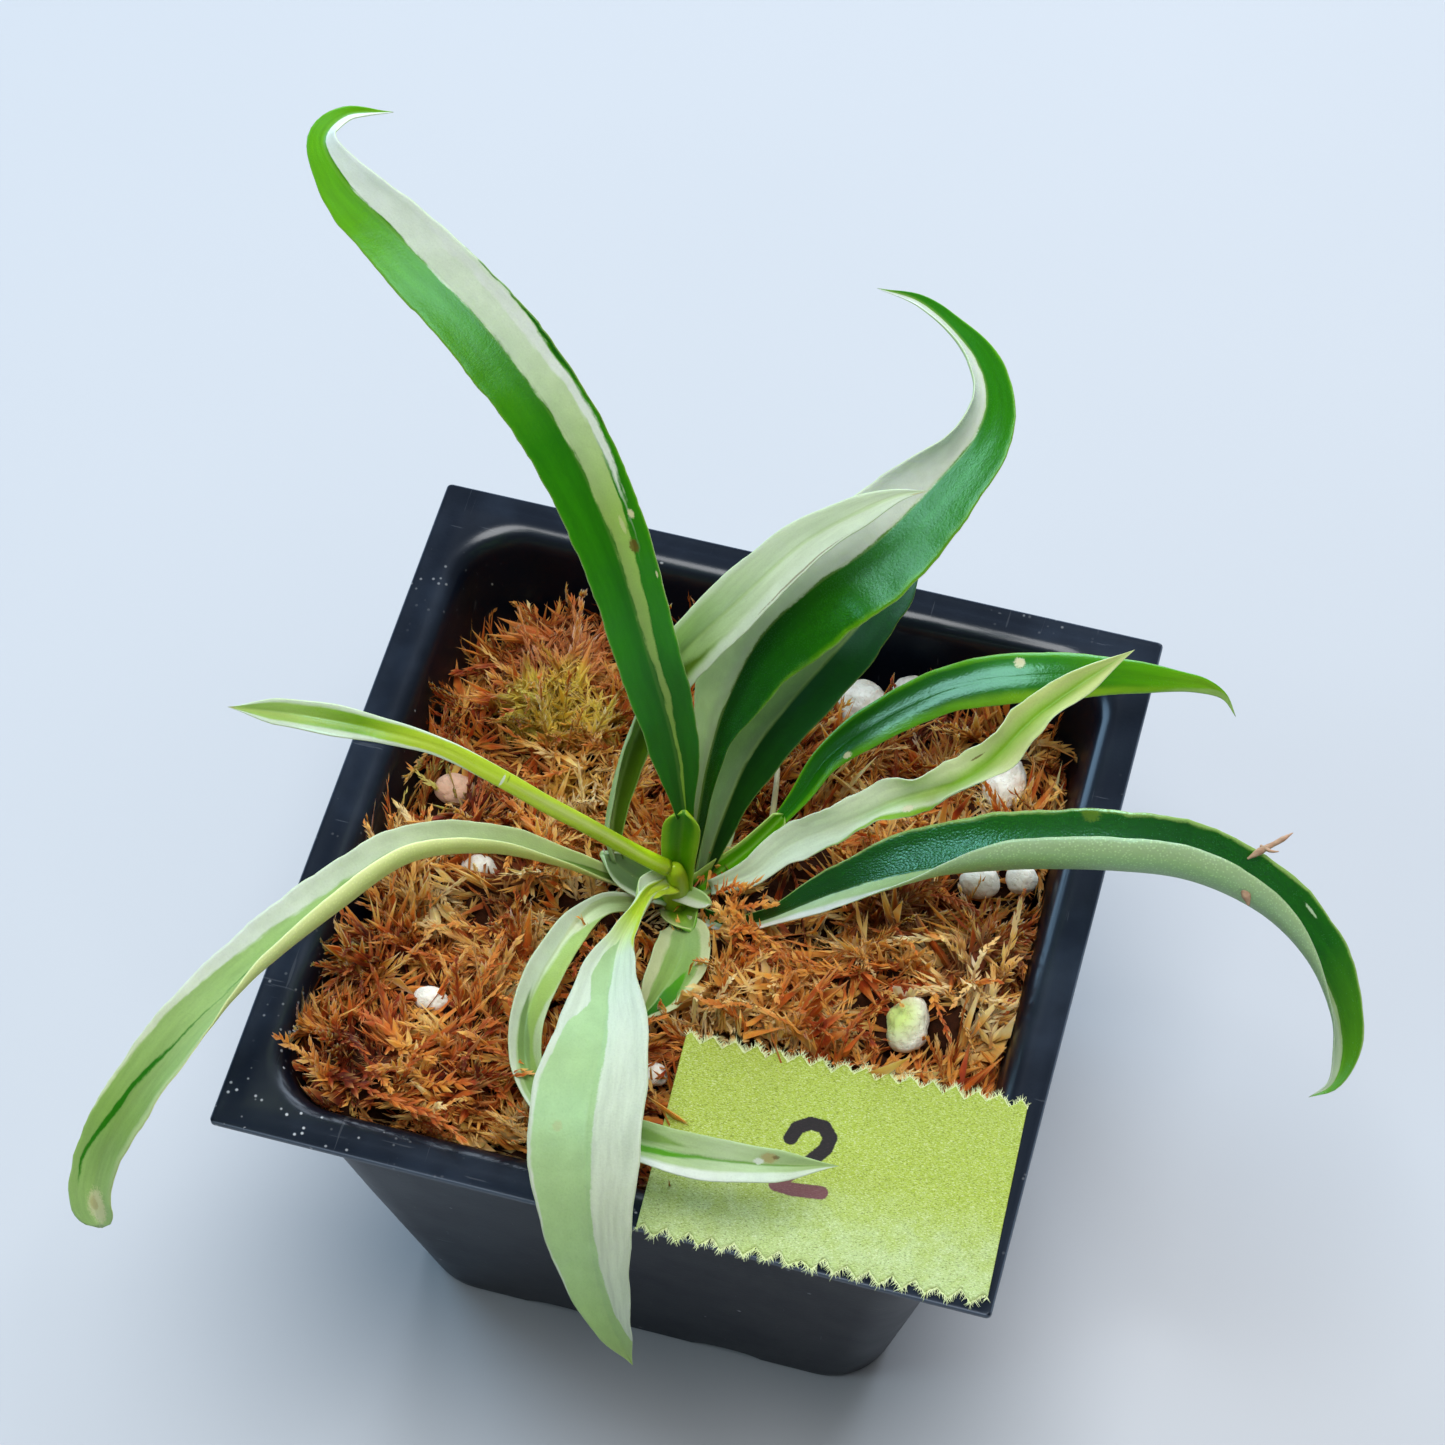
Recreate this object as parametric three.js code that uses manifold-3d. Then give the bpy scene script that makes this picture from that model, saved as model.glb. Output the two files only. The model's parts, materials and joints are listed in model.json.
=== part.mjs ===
// A potted philodendron with long, narrow, variegated leaves, in a square nursery pot of dried moss.
// Millimetres, +Z up, with the origin at the centre of the pot's underside and the front towards -Y.
import * as THREE from 'three';
import { ImprovedNoise } from 'three/addons/math/ImprovedNoise.js';
import { mergeVertices } from 'three/addons/utils/BufferGeometryUtils.js';
import Module from 'manifold-3d';

const wasm = await Module();
wasm.setup();

// Driving dimensions
const clearance = 0.3;
const bladeEdge = 0.6;
const fineness = 0.08;
const foldShares = [0.7, 1.3];
const depthShares = [0, 0.6, 1, 0.6, 0];

const pot = {
  rim: 75,
  height: 55,
  wall: 0.9,
  flange: 0.8,
  floor: 1.2,
  cornerSteps: 5,
  foot: { half: 25.4, radius: 7 },
  mouth: { half: 32.9, radius: 6, depth: 1.6 },
  lip: { half: 33.3, half2: 34.1, depth: 0.5 },
  arch: { width: 8, height: 2, offset: 9, inner: 22.4 },
  drain: { radius: 2.5, offset: 14 },
};

const label = {
  size: [32.8, 21],
  thickness: 0.3,
  centre: [20, -26.8],
  turn: THREE.MathUtils.degToRad(2.4),
  teeth: 12,
  tooth: 0.9,
};

const moss = {
  middle: 51.3,
  fallBack: 0.15,
  fallFront: 0.07,
  highest: 54,
  cells: 34,
  bumps: [
    { height: 1.9, span: 8, layer: 0.4 },
    { height: 1.5, span: 3.4, layer: 3.7 },
    { height: 0.6, span: 1.6, layer: 8.2 },
  ],
};

const strand = {
  count: 48,
  length: [4.5, 8.5],
  radii: [0.75, 0.45],
  rise: [0.4, 2.2],
  sunk: 1.2,
  reach: 29,
  labelEdge: -11,
  sides: 3,
  steps: 3,
  seed: 11,
};

// The leaves, each by its midrib's points, the way its upper face looks, its half width, the thickness
// along its midrib and how far its left and right halves fold up, in degrees.
const leaves = {
  leaf_1: {
    path: [
      [-1.5, -0.4, 66.2], [-3.2, 2.1, 75], [-6.4, 4.7, 86.5], [-10.3, 8.4, 97], [-16, 13.1, 105],
      [-24.5, 18.3, 111], [-33, 23, 114], [-40.6, 28, 115], [-43.2, 31.6, 115.2], [-42.2, 34.6, 115],
      [-38.8, 37.7, 113],
    ],
    face: [[0.3, -0.8, 0.3], [0.2, -0.6, 0.7], [0.2, -0.5, 0.85], [-0.3, -0.4, 0.85]],
    half: [0.9, 2.5, 3, 3.2, 3.5, 3.8, 4, 3.8, 3.2, 1.6, 0.35],
    rib: [1.4, 1.2, 1, 0.9, 0.8, 0.6],
    left: [20, 16, 14, 14, 12, 10],
    right: [20, 16, 14, 18, 28, 20],
    steps: 30,
    color: 0x3c8a2c,
  },
  leaf_2: {
    path: [
      [-8.3, -0.9, 56.2], [-8.8, -0.6, 60], [-8.6, 1.7, 65], [-7.3, 4.4, 72.2], [-4.4, 7.2, 80.5],
      [0.8, 10.7, 88], [5.6, 15.4, 92.4], [9.6, 18.2, 94.6], [12.9, 20.4, 95.6], [15.5, 21.7, 95.6],
    ],
    face: [[0.6, -0.7, 0.3], [0.5, -0.7, 0.4], [0.1, -0.5, 0.8], [0.1, -0.5, 0.85]],
    half: [0.8, 1.6, 2.2, 2.6, 2.9, 2.8, 2.4, 1.6, 0.35],
    rib: [1.4, 1.1, 0.9, 0.8, 0.6],
    left: [50, 55, 45, 22, 18, 15],
    right: [60, 62, 50, 25, 20, 15],
    steps: 26,
    color: 0xa9c39a,
  },
  leaf_3: {
    path: [
      [-1.7, 0.8, 54.6], [-1.3, 2.6, 60], [-0.9, 5.2, 67], [0.2, 8.4, 74], [2.6, 12.4, 80.4],
      [6.8, 16.6, 84.6], [10.6, 20.2, 86.6], [15.3, 27.3, 89.4], [17.6, 32, 90.8], [17.7, 36.2, 91.5],
      [15.4, 40.2, 92], [9.4, 44.8, 92], [4.7, 46.2, 91],
    ],
    face: [[0.4, -0.9, 0.2], [0.2, -0.7, 0.5], [0.1, -0.4, 0.9], [0.1, -0.5, 0.85], [0.2, -0.4, 0.85]],
    half: [0.9, 1, 1.6, 3.8, 5.4, 5.6, 5, 3.8, 2.4, 1.1, 0.35],
    rib: [1.5, 1.4, 1.1, 0.9, 0.7, 0.6],
    left: [40, 25, 15, 15, 35, 58, 68, 30],
    right: [40, 20, 8, 4, 6, 14, 20, 20],
    steps: 28,
    color: 0x2f7d3a,
  },
  leaf_4: {
    path: [
      [-0.4, 1.7, 52.2], [0.5, 4.8, 57.2], [2, 9.3, 62.5], [4.6, 13.9, 66], [8.6, 20.3, 69.5],
      [11.5, 26.9, 70], [13.6, 32.6, 68.4],
    ],
    face: [[0.2, -0.6, 0.6], [0.1, -0.5, 0.8], [0.1, -0.4, 0.9]],
    half: [0.9, 1.8, 3.1, 3.5, 3.5, 2.6, 0.4],
    rib: [1.4, 1.1, 0.9, 0.8, 0.6],
    left: [30, 20, 14, 10],
    right: [30, 20, 14, 10],
    steps: 16,
    color: 0x7fa07f,
  },
  leaf_5: {
    path: [
      [5.5, 7, 55.4], [7.3, 9.3, 58], [8.9, 12.4, 60.2], [11.8, 15.4, 62.2], [16.4, 19.4, 63.6],
      [20.2, 21.9, 64.2], [27, 24.6, 64.4], [33.8, 27.4, 63], [39.4, 29.9, 60.6], [42.8, 31.2, 58.8],
      [44.8, 31.6, 57], [46.2, 30.9, 55],
    ],
    face: [[-0.2, -0.4, 0.8], [0, -0.3, 0.9], [0.1, -0.35, 0.9], [0.4, -0.4, 0.8]],
    half: [0.7, 1.3, 2, 2.3, 2.6, 2.4, 1.7, 0.9, 0.35],
    rib: [1.2, 1.1, 0.9, 0.8, 0.6],
    left: [10, -10, -14, -14, -8],
    right: [10, -10, -14, -14, -8],
    steps: 22,
    color: 0x1f6b2b,
  },
  leaf_6: {
    path: [
      [0.9, -0.3, 53.2], [4.8, 1, 55.8], [7.4, 3.3, 58], [10.8, 4.6, 60.6], [14, 5.7, 63],
      [17.2, 6.8, 65.6], [20.4, 7.4, 68], [23.2, 7.8, 70.4], [25.5, 9.6, 72], [28.5, 14, 74],
      [33.6, 19.6, 76], [36.1, 21.9, 77],
    ],
    face: [[0, -0.5, 0.85], [0, -0.5, 0.85], [-0.1, -0.5, 0.85], [0, -0.4, 0.85]],
    half: [0.8, 1.7, 2.2, 2.1, 2.1, 2.2, 2.1, 1.6, 0.35],
    rib: [1.2, 1.1, 0.9, 0.7, 0.6],
    left: [20, 20, 20, 24, 10, 44, 8, 46, 20, 34, 24],
    right: [30, 34, 34, 24, 58, 20, 62, 20, 50, 30, 24],
    steps: 28,
    color: 0xb7cf8f,
  },
  leaf_7: {
    path: [
      [0.6, -2.6, 51.2], [3.8, -3.4, 52.4], [7.3, -3, 54.8], [11.5, -1.6, 58], [15.6, -0.4, 60.9],
      [20, 0.9, 63.2], [28.4, 2.3, 66.4], [38.5, 4, 68], [46, 5.6, 66.6], [53, 5.9, 63], [57.8, 4.6, 59.6],
      [61.6, 2, 55.6], [63.4, -1.2, 52], [63.1, -3.8, 50], [61.2, -5.2, 49],
    ],
    face: [[0, -0.2, 0.9], [0, -0.1, 1], [0, 0, 1], [0.1, 0, 1], [0.3, -0.2, 0.9], [0.2, -0.5, 0.85]],
    half: [0.9, 1, 2.5, 4, 4.8, 5.1, 5, 4.4, 3.5, 2.1, 0.35],
    rib: [1.3, 1.2, 1, 0.9, 0.8, 0.6],
    left: [20, 20, 24, 28, 30, 28, 22, 18],
    right: [20, 22, 45, 92, 98, 92, 55, 20],
    steps: 32,
    color: 0x2c7a33,
  },
  leaf_8: {
    path: [
      [-2.2, -2.8, 59.8], [-3.1, -3.4, 61.3], [-5.2, -3.8, 63.2], [-9.5, -5.3, 69], [-12.9, -6.3, 73],
      [-17, -6.9, 77], [-22.6, -7.1, 80.4], [-28, -8, 82.6], [-35, -9.1, 84], [-42, -9.5, 83],
    ],
    face: [[0.4, -0.3, 0.6], [0.2, -0.4, 0.8], [0.1, -0.5, 0.85]],
    half: [1, 0.95, 0.9, 0.95, 1.1, 1.3, 1.6, 1.7, 1.3, 0.35],
    rib: [1.9, 1.8, 1.6, 1.3, 1, 0.6],
    left: [30, 40, 45, 50, 35, 20],
    right: [30, 40, 45, 50, 35, 20],
    steps: 22,
    color: 0xa9cf3f,
  },
  leaf_9: {
    path: [
      [-6.8, -2.1, 53.6], [-9.2, -2.6, 55.2], [-12.9, -4.4, 59.4], [-18.6, -7.7, 65], [-24.7, -12.8, 69],
      [-29.4, -20, 70], [-34.7, -27.7, 69], [-39.6, -35.3, 66.5], [-43.5, -42.3, 62],
      [-45.1, -45.6, 58], [-45.3, -47.9, 55], [-44.4, -49.2, 52],
    ],
    face: [[0, -0.3, 0.9], [0, -0.2, 1], [0, -0.2, 1], [-0.1, -0.4, 0.9], [-0.1, -0.6, 0.7]],
    half: [0.8, 1.2, 2, 2.6, 3.2, 3.6, 3.5, 3.1, 2.6, 2.1, 1],
    rib: [1.3, 1.2, 1, 0.9, 0.8, 0.6],
    left: [40, 70, 88, 92, 80, 40, 25, 20],
    right: [20, 22, 25, 26, 24, 20, 25, 30],
    steps: 28,
    color: 0x9cc27e,
  },
  leaf_10: {
    path: [
      [-4.9, -3, 51.9], [-8, -5.4, 54.8], [-9.7, -9.2, 57], [-10.6, -14.2, 59], [-11, -18.4, 60],
      [-11, -22, 59.4], [-10, -25.4, 57.8], [-7.2, -28.8, 58], [-3.4, -31, 60], [1.6, -32.2, 62.4],
      [8, -33, 63.6], [15, -32.4, 64.2], [21.3, -30.2, 63],
    ],
    face: [[0, -0.4, 0.8], [0.2, -0.5, 0.85], [0.2, -0.4, 0.85], [0.2, -0.3, 0.85], [0.1, -0.5, 0.85]],
    half: [0.8, 1.2, 1.8, 2, 1.8, 1.5, 1.6, 2, 2.1, 1.6, 0.35],
    rib: [1.2, 1, 0.9, 0.8, 0.7, 0.6],
    left: [20, 25, 30, 20, 15, 15],
    right: [20, 25, 30, 20, 15, 15],
    steps: 28,
    color: 0xa8c98c,
  },
  leaf_11: {
    path: [
      [-3, -3.4, 57.4], [-3.7, -5.6, 59.4], [-3.8, -8.4, 61.4], [-3.8, -14.6, 65.2], [-3.4, -19, 67.4],
      [-1.8, -27, 70.2], [-0.9, -34.9, 70.2], [0.7, -41.1, 67], [2.2, -44.6, 62.4], [4.2, -47, 55.6],
      [6.4, -47.6, 47.4],
    ],
    face: [[0.2, -0.3, 0.8], [0, -0.5, 0.85], [0, -0.5, 0.85], [0, -0.6, 0.8], [0.1, -0.7, 0.7]],
    half: [0.9, 1.1, 1.8, 3, 4.2, 5.2, 5.2, 4.1, 2.9, 1.6, 0.35],
    rib: [1.4, 1.3, 1, 0.9, 0.8, 0.6],
    left: [30, 30, 16, 12, 10, 12],
    right: [30, 30, 16, 12, 10, 12],
    steps: 26,
    color: 0xc3dcc0,
  },
  leaf_12: {
    path: [
      [-1.1, -3.9, 51.8], [0.1, -6.8, 53.6], [0.3, -10.4, 54.9], [-0.4, -13.8, 55.1], [-1.8, -16.6, 54.2],
    ],
    face: [[0, -0.4, 0.9], [0.1, -0.4, 0.9], [0.1, -0.5, 0.85]],
    half: [1, 2.7, 3, 2.4, 0.6],
    rib: [1.2, 1, 0.8, 0.6],
    left: [30, 26, 22, 20],
    right: [30, 26, 22, 20],
    steps: 12,
    color: 0x8fb08c,
  },
};

// The crown: a short upright stem, the sheaths and bracts that the leaves leave it by, and its roots.
const stem = {
  path: [[-2.6, -0.2, 40], [-2.4, -0.8, 49], [-2.1, -1.7, 55], [-2.1, -2.6, 60.2]],
  radii: [2.4, 3, 2.3, 1.6],
};

const sheaths = [
  {
    path: [[-1.9, -1.5, 54.4], [-1.9, -1.2, 60], [-1.6, -0.6, 67]],
    face: [[0.1, -0.9, 0.3], [0.1, -0.9, 0.3]],
    half: [1.5, 1.6, 1.6, 1.4],
    rib: [1.6, 1.5, 1.3],
    left: [35, 45, 45],
    right: [35, 45, 45],
    steps: 4,
  },
  {
    path: [[-0.8, 0.2, 51.5], [3.5, 4.5, 54], [6.1, 7.8, 56.2]],
    face: [[0.1, -0.5, 0.8], [0.1, -0.5, 0.8]],
    half: [1.4, 1.6, 1.5, 1.2],
    rib: [1.6, 1.5, 1.3],
    left: [30, 45, 45],
    right: [30, 45, 45],
    steps: 4,
  },
  {
    path: [[-3, -1.3, 52.2], [-6.4, -1.4, 53.9], [-9.4, -1.5, 57]],
    face: [[0, -0.3, 0.9], [0.1, -0.4, 0.9]],
    half: [1.6, 2.4, 2.3, 1.5],
    rib: [2.2, 1.8, 1.2],
    left: [20, 38, 40],
    right: [20, 38, 40],
    steps: 4,
  },
  {
    path: [[-2.3, -2.8, 56.8], [-3.5, -4.6, 58.8], [-4.3, -6.8, 60.3]],
    face: [[0, -0.3, 0.9], [0.1, -0.4, 0.9]],
    half: [1.4, 1.7, 1.2],
    rib: [1.4, 1.3, 0.9],
    left: [20, 30, 30],
    right: [20, 30, 30],
    steps: 4,
  },
  {
    path: [[-2, -2, 54], [1.6, -3.2, 55.4]],
    face: [[0, -0.3, 0.9], [0.1, -0.5, 0.9]],
    half: [1, 1, 0.8],
    rib: [1.2, 1, 0.8],
    left: [10, 20, 20],
    right: [10, 20, 20],
    steps: 4,
  },
  {
    path: [[-2.3, -1.8, 49.8], [-1.1, -3.9, 51.2], [0.1, -5.6, 52.6]],
    face: [[0.1, -0.3, 0.9], [0.2, -0.5, 0.8]],
    half: [1.8, 2.2, 1.7],
    rib: [2, 1.6, 1],
    left: [20, 35, 40],
    right: [20, 35, 40],
    steps: 4,
  },
  {
    path: [[-1.6, 1, 50.8], [-0.2, 5, 52], [0.6, 8.2, 53.2]],
    face: [[0.2, -0.4, 0.9], [0.2, -0.4, 0.9]],
    half: [1.4, 1.6, 1],
    rib: [1.8, 1.4, 0.9],
    left: [10, 25, 25],
    right: [10, 25, 25],
    steps: 4,
  },
];

const roots = [
  {
    path: [[5, 7, 55.2], [4.6, 10.4, 57.2], [3.6, 14.6, 53.4], [3.2, 17, 45]],
    radii: [0.5, 0.4, 0.4, 0.4],
  },
  { path: [[-2.6, -0.4, 42], [3, 3, 37], [9, 7, 28]], radii: [1, 0.8, 0.5] },
  { path: [[-2.6, -0.4, 42], [-8, 2, 37], [-13, 6, 26]], radii: [1, 0.8, 0.5] },
  { path: [[-2.6, -0.4, 42], [-6, -6, 36], [-9, -12, 27]], radii: [1, 0.8, 0.5] },
  { path: [[-2.6, -0.4, 42], [2, -6, 36], [7, -11, 24]], radii: [1, 0.8, 0.5] },
];

// Loose strands of moss that stand over the pot's rim
const rimStrands = [
  [[-25, -22, 52.5], [-29, -23.6, 55.4], [-31.4, -22.6, 57.6]],
  [[-25, -26, 52.5], [-29.6, -28.6, 55.6], [-33, -28.4, 57.4]],
  [[-27, -19, 52], [-30, -20.6, 54.8], [-31.6, -18.6, 57]],
  [[27, 1, 51.5], [31, 2.6, 55], [33.2, 6.4, 58]],
  [[27, -2, 51.5], [30.6, -1, 54.8], [33, 1.2, 57]],
];

// The loose pumice chips: how uneven they are, where each one's middle lies, and its half sizes
const chipBump = { height: 0.16, pitch: 1.7, apart: 5 };

const chips = [
  { at: [-21.5, -19.4, 54.2], size: [1.7, 1.2, 1.1] },
  { at: [23, -10.2, 54], size: [2.4, 2.8, 2] },
  { at: [9.4, 26.6, 48.6], size: [2.4, 2.3, 2] },
  { at: [13.9, 28.4, 49.4], size: [1.8, 1.8, 1.7] },
  { at: [25.4, 20.6, 49.6], size: [1.8, 2.8, 1.8] },
  { at: [25.8, 7.8, 52.2], size: [1.9, 1.7, 1.6] },
  { at: [29.7, 9, 52.2], size: [1.6, 1.6, 1.5] },
  { at: [-21.8, -3.3, 51.6], size: [1.9, 1.4, 1.2] },
  { at: [-27.1, 5.2, 50.6], size: [2, 1.8, 1.4] },
  { at: [1.1, -21.2, 53.4], size: [1.3, 1.1, 1] },
];

// A smooth value at t, from 0 to 1, along a row of numbers that stand at even distances
function along(values, t) {
  const place = t * (values.length - 1);
  const i = Math.min(Math.floor(place), values.length - 2);
  const s = place - i;
  const ease = s * s * (3 - 2 * s);
  return values[i] + (values[i + 1] - values[i]) * (s + ease) / 2;
}

function alongVectors(vectors, t) {
  return new THREE.Vector3(...[0, 1, 2].map((axis) => along(vectors.map((v) => v[axis]), t)));
}

function curveThrough(points) {
  return new THREE.CatmullRomCurve3(points.map((p) => new THREE.Vector3(...p)), false, 'centripetal');
}

// An indexed geometry from its points and its triangles' corners
function geometryFrom(points, triangles) {
  const geometry = new THREE.BufferGeometry();
  geometry.setAttribute('position', new THREE.Float32BufferAttribute(points.flatMap((p) => p.toArray()), 3));
  geometry.setIndex(triangles.flat());
  return geometry;
}

function solidFrom(geometry) {
  const bare = geometry.clone();
  bare.deleteAttribute('normal');
  bare.deleteAttribute('uv');
  const merged = mergeVertices(bare, 1e-4);
  return new wasm.Manifold(new wasm.Mesh({
    numProp: 3,
    vertProperties: new Float32Array(merged.attributes.position.array),
    triVerts: new Uint32Array(merged.index.array),
  }));
}

function geometryOf(solid) {
  const mesh = solid.getMesh();
  const geometry = new THREE.BufferGeometry();
  geometry.setAttribute('position', new THREE.BufferAttribute(new Float32Array(mesh.vertProperties), 3));
  geometry.setIndex(new THREE.BufferAttribute(new Uint32Array(mesh.triVerts), 1));
  geometry.computeVertexNormals();
  return geometry;
}

// The largest body of a solid, without the scraps and needle-thin faces that a cut leaves
function largest(solid) {
  return solid.simplify(fineness).decompose().reduce((a, b) => (b.volume() > a.volume() ? b : a));
}

// A closed solid through rings of equal counts, anticlockwise seen from the last one, with flat ends
function loft(rings) {
  const count = rings[0].length;
  const points = rings.flat();
  const triangles = [];
  for (let k = 0; k < rings.length - 1; k += 1) {
    for (let m = 0; m < count; m += 1) {
      const a = k * count + m;
      const b = k * count + ((m + 1) % count);
      triangles.push([a, b, b + count], [a, b + count, a + count]);
    }
  }
  const middle = (ring) => ring.reduce((sum, p) => sum.add(p), new THREE.Vector3()).divideScalar(count);
  const last = (rings.length - 1) * count;
  points.push(middle(rings[0]), middle(rings[rings.length - 1]));
  for (let m = 0; m < count; m += 1) {
    const next = (m + 1) % count;
    triangles.push([points.length - 2, next, m], [points.length - 1, last + m, last + next]);
  }
  return geometryFrom(points, triangles);
}

// A closed sheet between two grids of points, with both faces split along the same diagonals
function slab(top, bottom) {
  const rows = top.length;
  const columns = top[0].length;
  const upper = (i, j) => i * columns + j;
  const lower = (i, j) => (rows + i) * columns + j;
  const triangles = [];
  const quad = (a, b, c, d) => triangles.push([a, b, c], [a, c, d]);
  for (let i = 0; i < rows - 1; i += 1) {
    for (let j = 0; j < columns - 1; j += 1) {
      triangles.push([upper(i, j), upper(i, j + 1), upper(i + 1, j + 1)]);
      triangles.push([upper(i, j), upper(i + 1, j + 1), upper(i + 1, j)]);
      triangles.push([lower(i, j), lower(i + 1, j + 1), lower(i, j + 1)]);
      triangles.push([lower(i, j), lower(i + 1, j), lower(i + 1, j + 1)]);
    }
    quad(upper(i, 0), upper(i + 1, 0), lower(i + 1, 0), lower(i, 0));
    quad(upper(i, columns - 1), lower(i, columns - 1), lower(i + 1, columns - 1), upper(i + 1, columns - 1));
  }
  for (let j = 0; j < columns - 1; j += 1) {
    quad(upper(0, j), lower(0, j), lower(0, j + 1), upper(0, j + 1));
    quad(upper(rows - 1, j), upper(rows - 1, j + 1), lower(rows - 1, j + 1), lower(rows - 1, j));
  }
  return geometryFrom([...top.flat(), ...bottom.flat()], triangles);
}

// One cross-section of a blade: five points of its upper face and five of its lower face, in the plane
// across the midrib. Each half turns up by its fold, the outer part of it more than the inner part.
function bladeSection(half, rib, left, right, grow) {
  const reach = (half + grow) / 2;
  const turn = (sign, degrees) => {
    const angles = foldShares.map((share) => THREE.MathUtils.degToRad(share * degrees));
    const steps = angles.map((a) => new THREE.Vector2(sign * Math.cos(a), Math.sin(a)));
    const normals = angles.map((a) => new THREE.Vector2(-sign * Math.sin(a), Math.cos(a)));
    const near = steps[0].clone().multiplyScalar(reach);
    const far = steps[1].clone().multiplyScalar(reach).add(near);
    const bend = normals[0].clone().add(normals[1]).normalize();
    return { near, far, first: normals[0], bend, end: normals[1] };
  };
  const l = turn(-1, left);
  const r = turn(1, right);
  const keel = l.first.clone().add(r.first).normalize();
  const middles = [l.far, l.near, new THREE.Vector2(), r.near, r.far];
  const normals = [l.end, l.bend, keel, r.bend, r.end];
  const depths = depthShares.map((share) => THREE.MathUtils.lerp(bladeEdge, rib, share));
  const offset = (i, distance) => middles[i].clone().addScaledVector(normals[i], distance);
  return {
    upper: middles.map((_, i) => offset(i, bladeEdge / 2 + grow)),
    lower: middles.map((_, i) => offset(i, bladeEdge / 2 - depths[i] - grow)),
  };
}

// A leaf, sheath or bract, swept along its midrib from its round stalk, and made larger all round by grow
function blade({ path, face, half, rib, left, right, steps }, grow = 0) {
  const midrib = curveThrough(path);
  const top = [];
  const bottom = [];
  for (let i = 0; i <= steps; i += 1) {
    const t = i / steps;
    const tangent = midrib.getTangentAt(t);
    const overrun = (i === steps) - (i === 0);
    const centre = midrib.getPointAt(t).addScaledVector(tangent, overrun * grow);
    const look = alongVectors(face, t);
    const normal = look.addScaledVector(tangent, -look.dot(tangent)).normalize();
    const side = new THREE.Vector3().crossVectors(tangent, normal);
    const section = bladeSection(along(half, t), along(rib, t), along(left, t), along(right, t), grow);
    const place = (p) => centre.clone().addScaledVector(side, p.x).addScaledVector(normal, p.y);
    top.push(section.upper.map(place));
    bottom.push(section.lower.map(place));
  }
  return slab(top, bottom);
}

// A round stem, root or strand of changing radius
function tube({ path, radii }, sides, steps, grow = 0) {
  const curve = curveThrough(path);
  const { tangents, normals, binormals } = curve.computeFrenetFrames(steps);
  const rings = [];
  for (let i = 0; i <= steps; i += 1) {
    const radius = along(radii, i / steps) + grow;
    const overrun = (i === steps) - (i === 0);
    const centre = curve.getPointAt(i / steps).addScaledVector(tangents[i], overrun * grow);
    const ring = [];
    for (let m = 0; m < sides; m += 1) {
      const angle = 2 * Math.PI * m / sides;
      const point = centre.clone().addScaledVector(normals[i], radius * Math.cos(angle));
      ring.push(point.addScaledVector(binormals[i], radius * Math.sin(angle)));
    }
    rings.push(ring);
  }
  return loft(rings);
}

const up = new THREE.Vector3(0, 0, 1);

// A square outline with round corners, anticlockwise, at one height
function roundedSquare(half, radius, z) {
  const ring = [];
  for (let quarter = 0; quarter < 4; quarter += 1) {
    for (let step = 0; step <= pot.cornerSteps; step += 1) {
      const angle = step / pot.cornerSteps * Math.PI / 2;
      const point = new THREE.Vector3(radius * Math.cos(angle), radius * Math.sin(angle), z);
      point.add(new THREE.Vector3(half - radius, half - radius, 0));
      ring.push(point.applyAxisAngle(up, quarter * Math.PI / 2));
    }
  }
  return ring;
}

const mouthZ = pot.height - pot.mouth.depth;

// Half the width of the pot's inside at a height below its mouth
function insideHalf(z) {
  const share = (z - pot.floor) / (mouthZ - pot.floor);
  return THREE.MathUtils.lerp(pot.foot.half - pot.wall, pot.mouth.half, Math.min(share, 1));
}

// The thin-walled pot, with its flange, arched foot and drain holes, or its shape made thicker by grow
function potSolid(grow = 0) {
  const outside = loft([
    roundedSquare(pot.foot.half, pot.foot.radius, 0),
    roundedSquare(pot.mouth.half + pot.wall, pot.mouth.radius, pot.height - pot.flange),
  ]);
  const inside = loft([
    roundedSquare(pot.foot.half - pot.wall - grow, pot.foot.radius - pot.wall, pot.floor + grow),
    roundedSquare(pot.mouth.half - grow, pot.mouth.radius, mouthZ),
    roundedSquare(pot.lip.half - grow, pot.mouth.radius, pot.height - pot.lip.depth),
    roundedSquare(pot.lip.half2 - grow, pot.mouth.radius, pot.height + grow),
    roundedSquare(pot.lip.half2 - grow, pot.mouth.radius, pot.height + 1 + grow),
  ]);
  const flange = new THREE.BoxGeometry(pot.rim + 2 * grow, pot.rim + 2 * grow, pot.flange + 2 * grow);
  flange.translate(0, 0, pot.height - pot.flange / 2);
  let solid = solidFrom(outside).add(solidFrom(flange)).subtract(solidFrom(inside));
  const archLength = pot.foot.half - pot.arch.inner + 2;
  const arch = new THREE.CylinderGeometry(pot.arch.width / 2, pot.arch.width / 2, archLength, 20);
  arch.scale(1, 1, 2 * pot.arch.height / pot.arch.width);
  arch.translate(0, pot.arch.inner + archLength / 2, 0);
  for (let side = 0; side < 4; side += 1) {
    for (const offset of [-pot.arch.offset, pot.arch.offset]) {
      const notch = arch.clone().translate(offset, 0, 0).rotateZ(side * Math.PI / 2);
      solid = solid.subtract(solidFrom(notch));
    }
    const drain = new THREE.CylinderGeometry(pot.drain.radius, pot.drain.radius, 4 * pot.floor, 16);
    drain.rotateX(Math.PI / 2).translate(pot.drain.offset, pot.drain.offset, 0).rotateZ(side * Math.PI / 2);
    solid = solid.subtract(solidFrom(drain));
  }
  return solid;
}

const noise = new ImprovedNoise();

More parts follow.
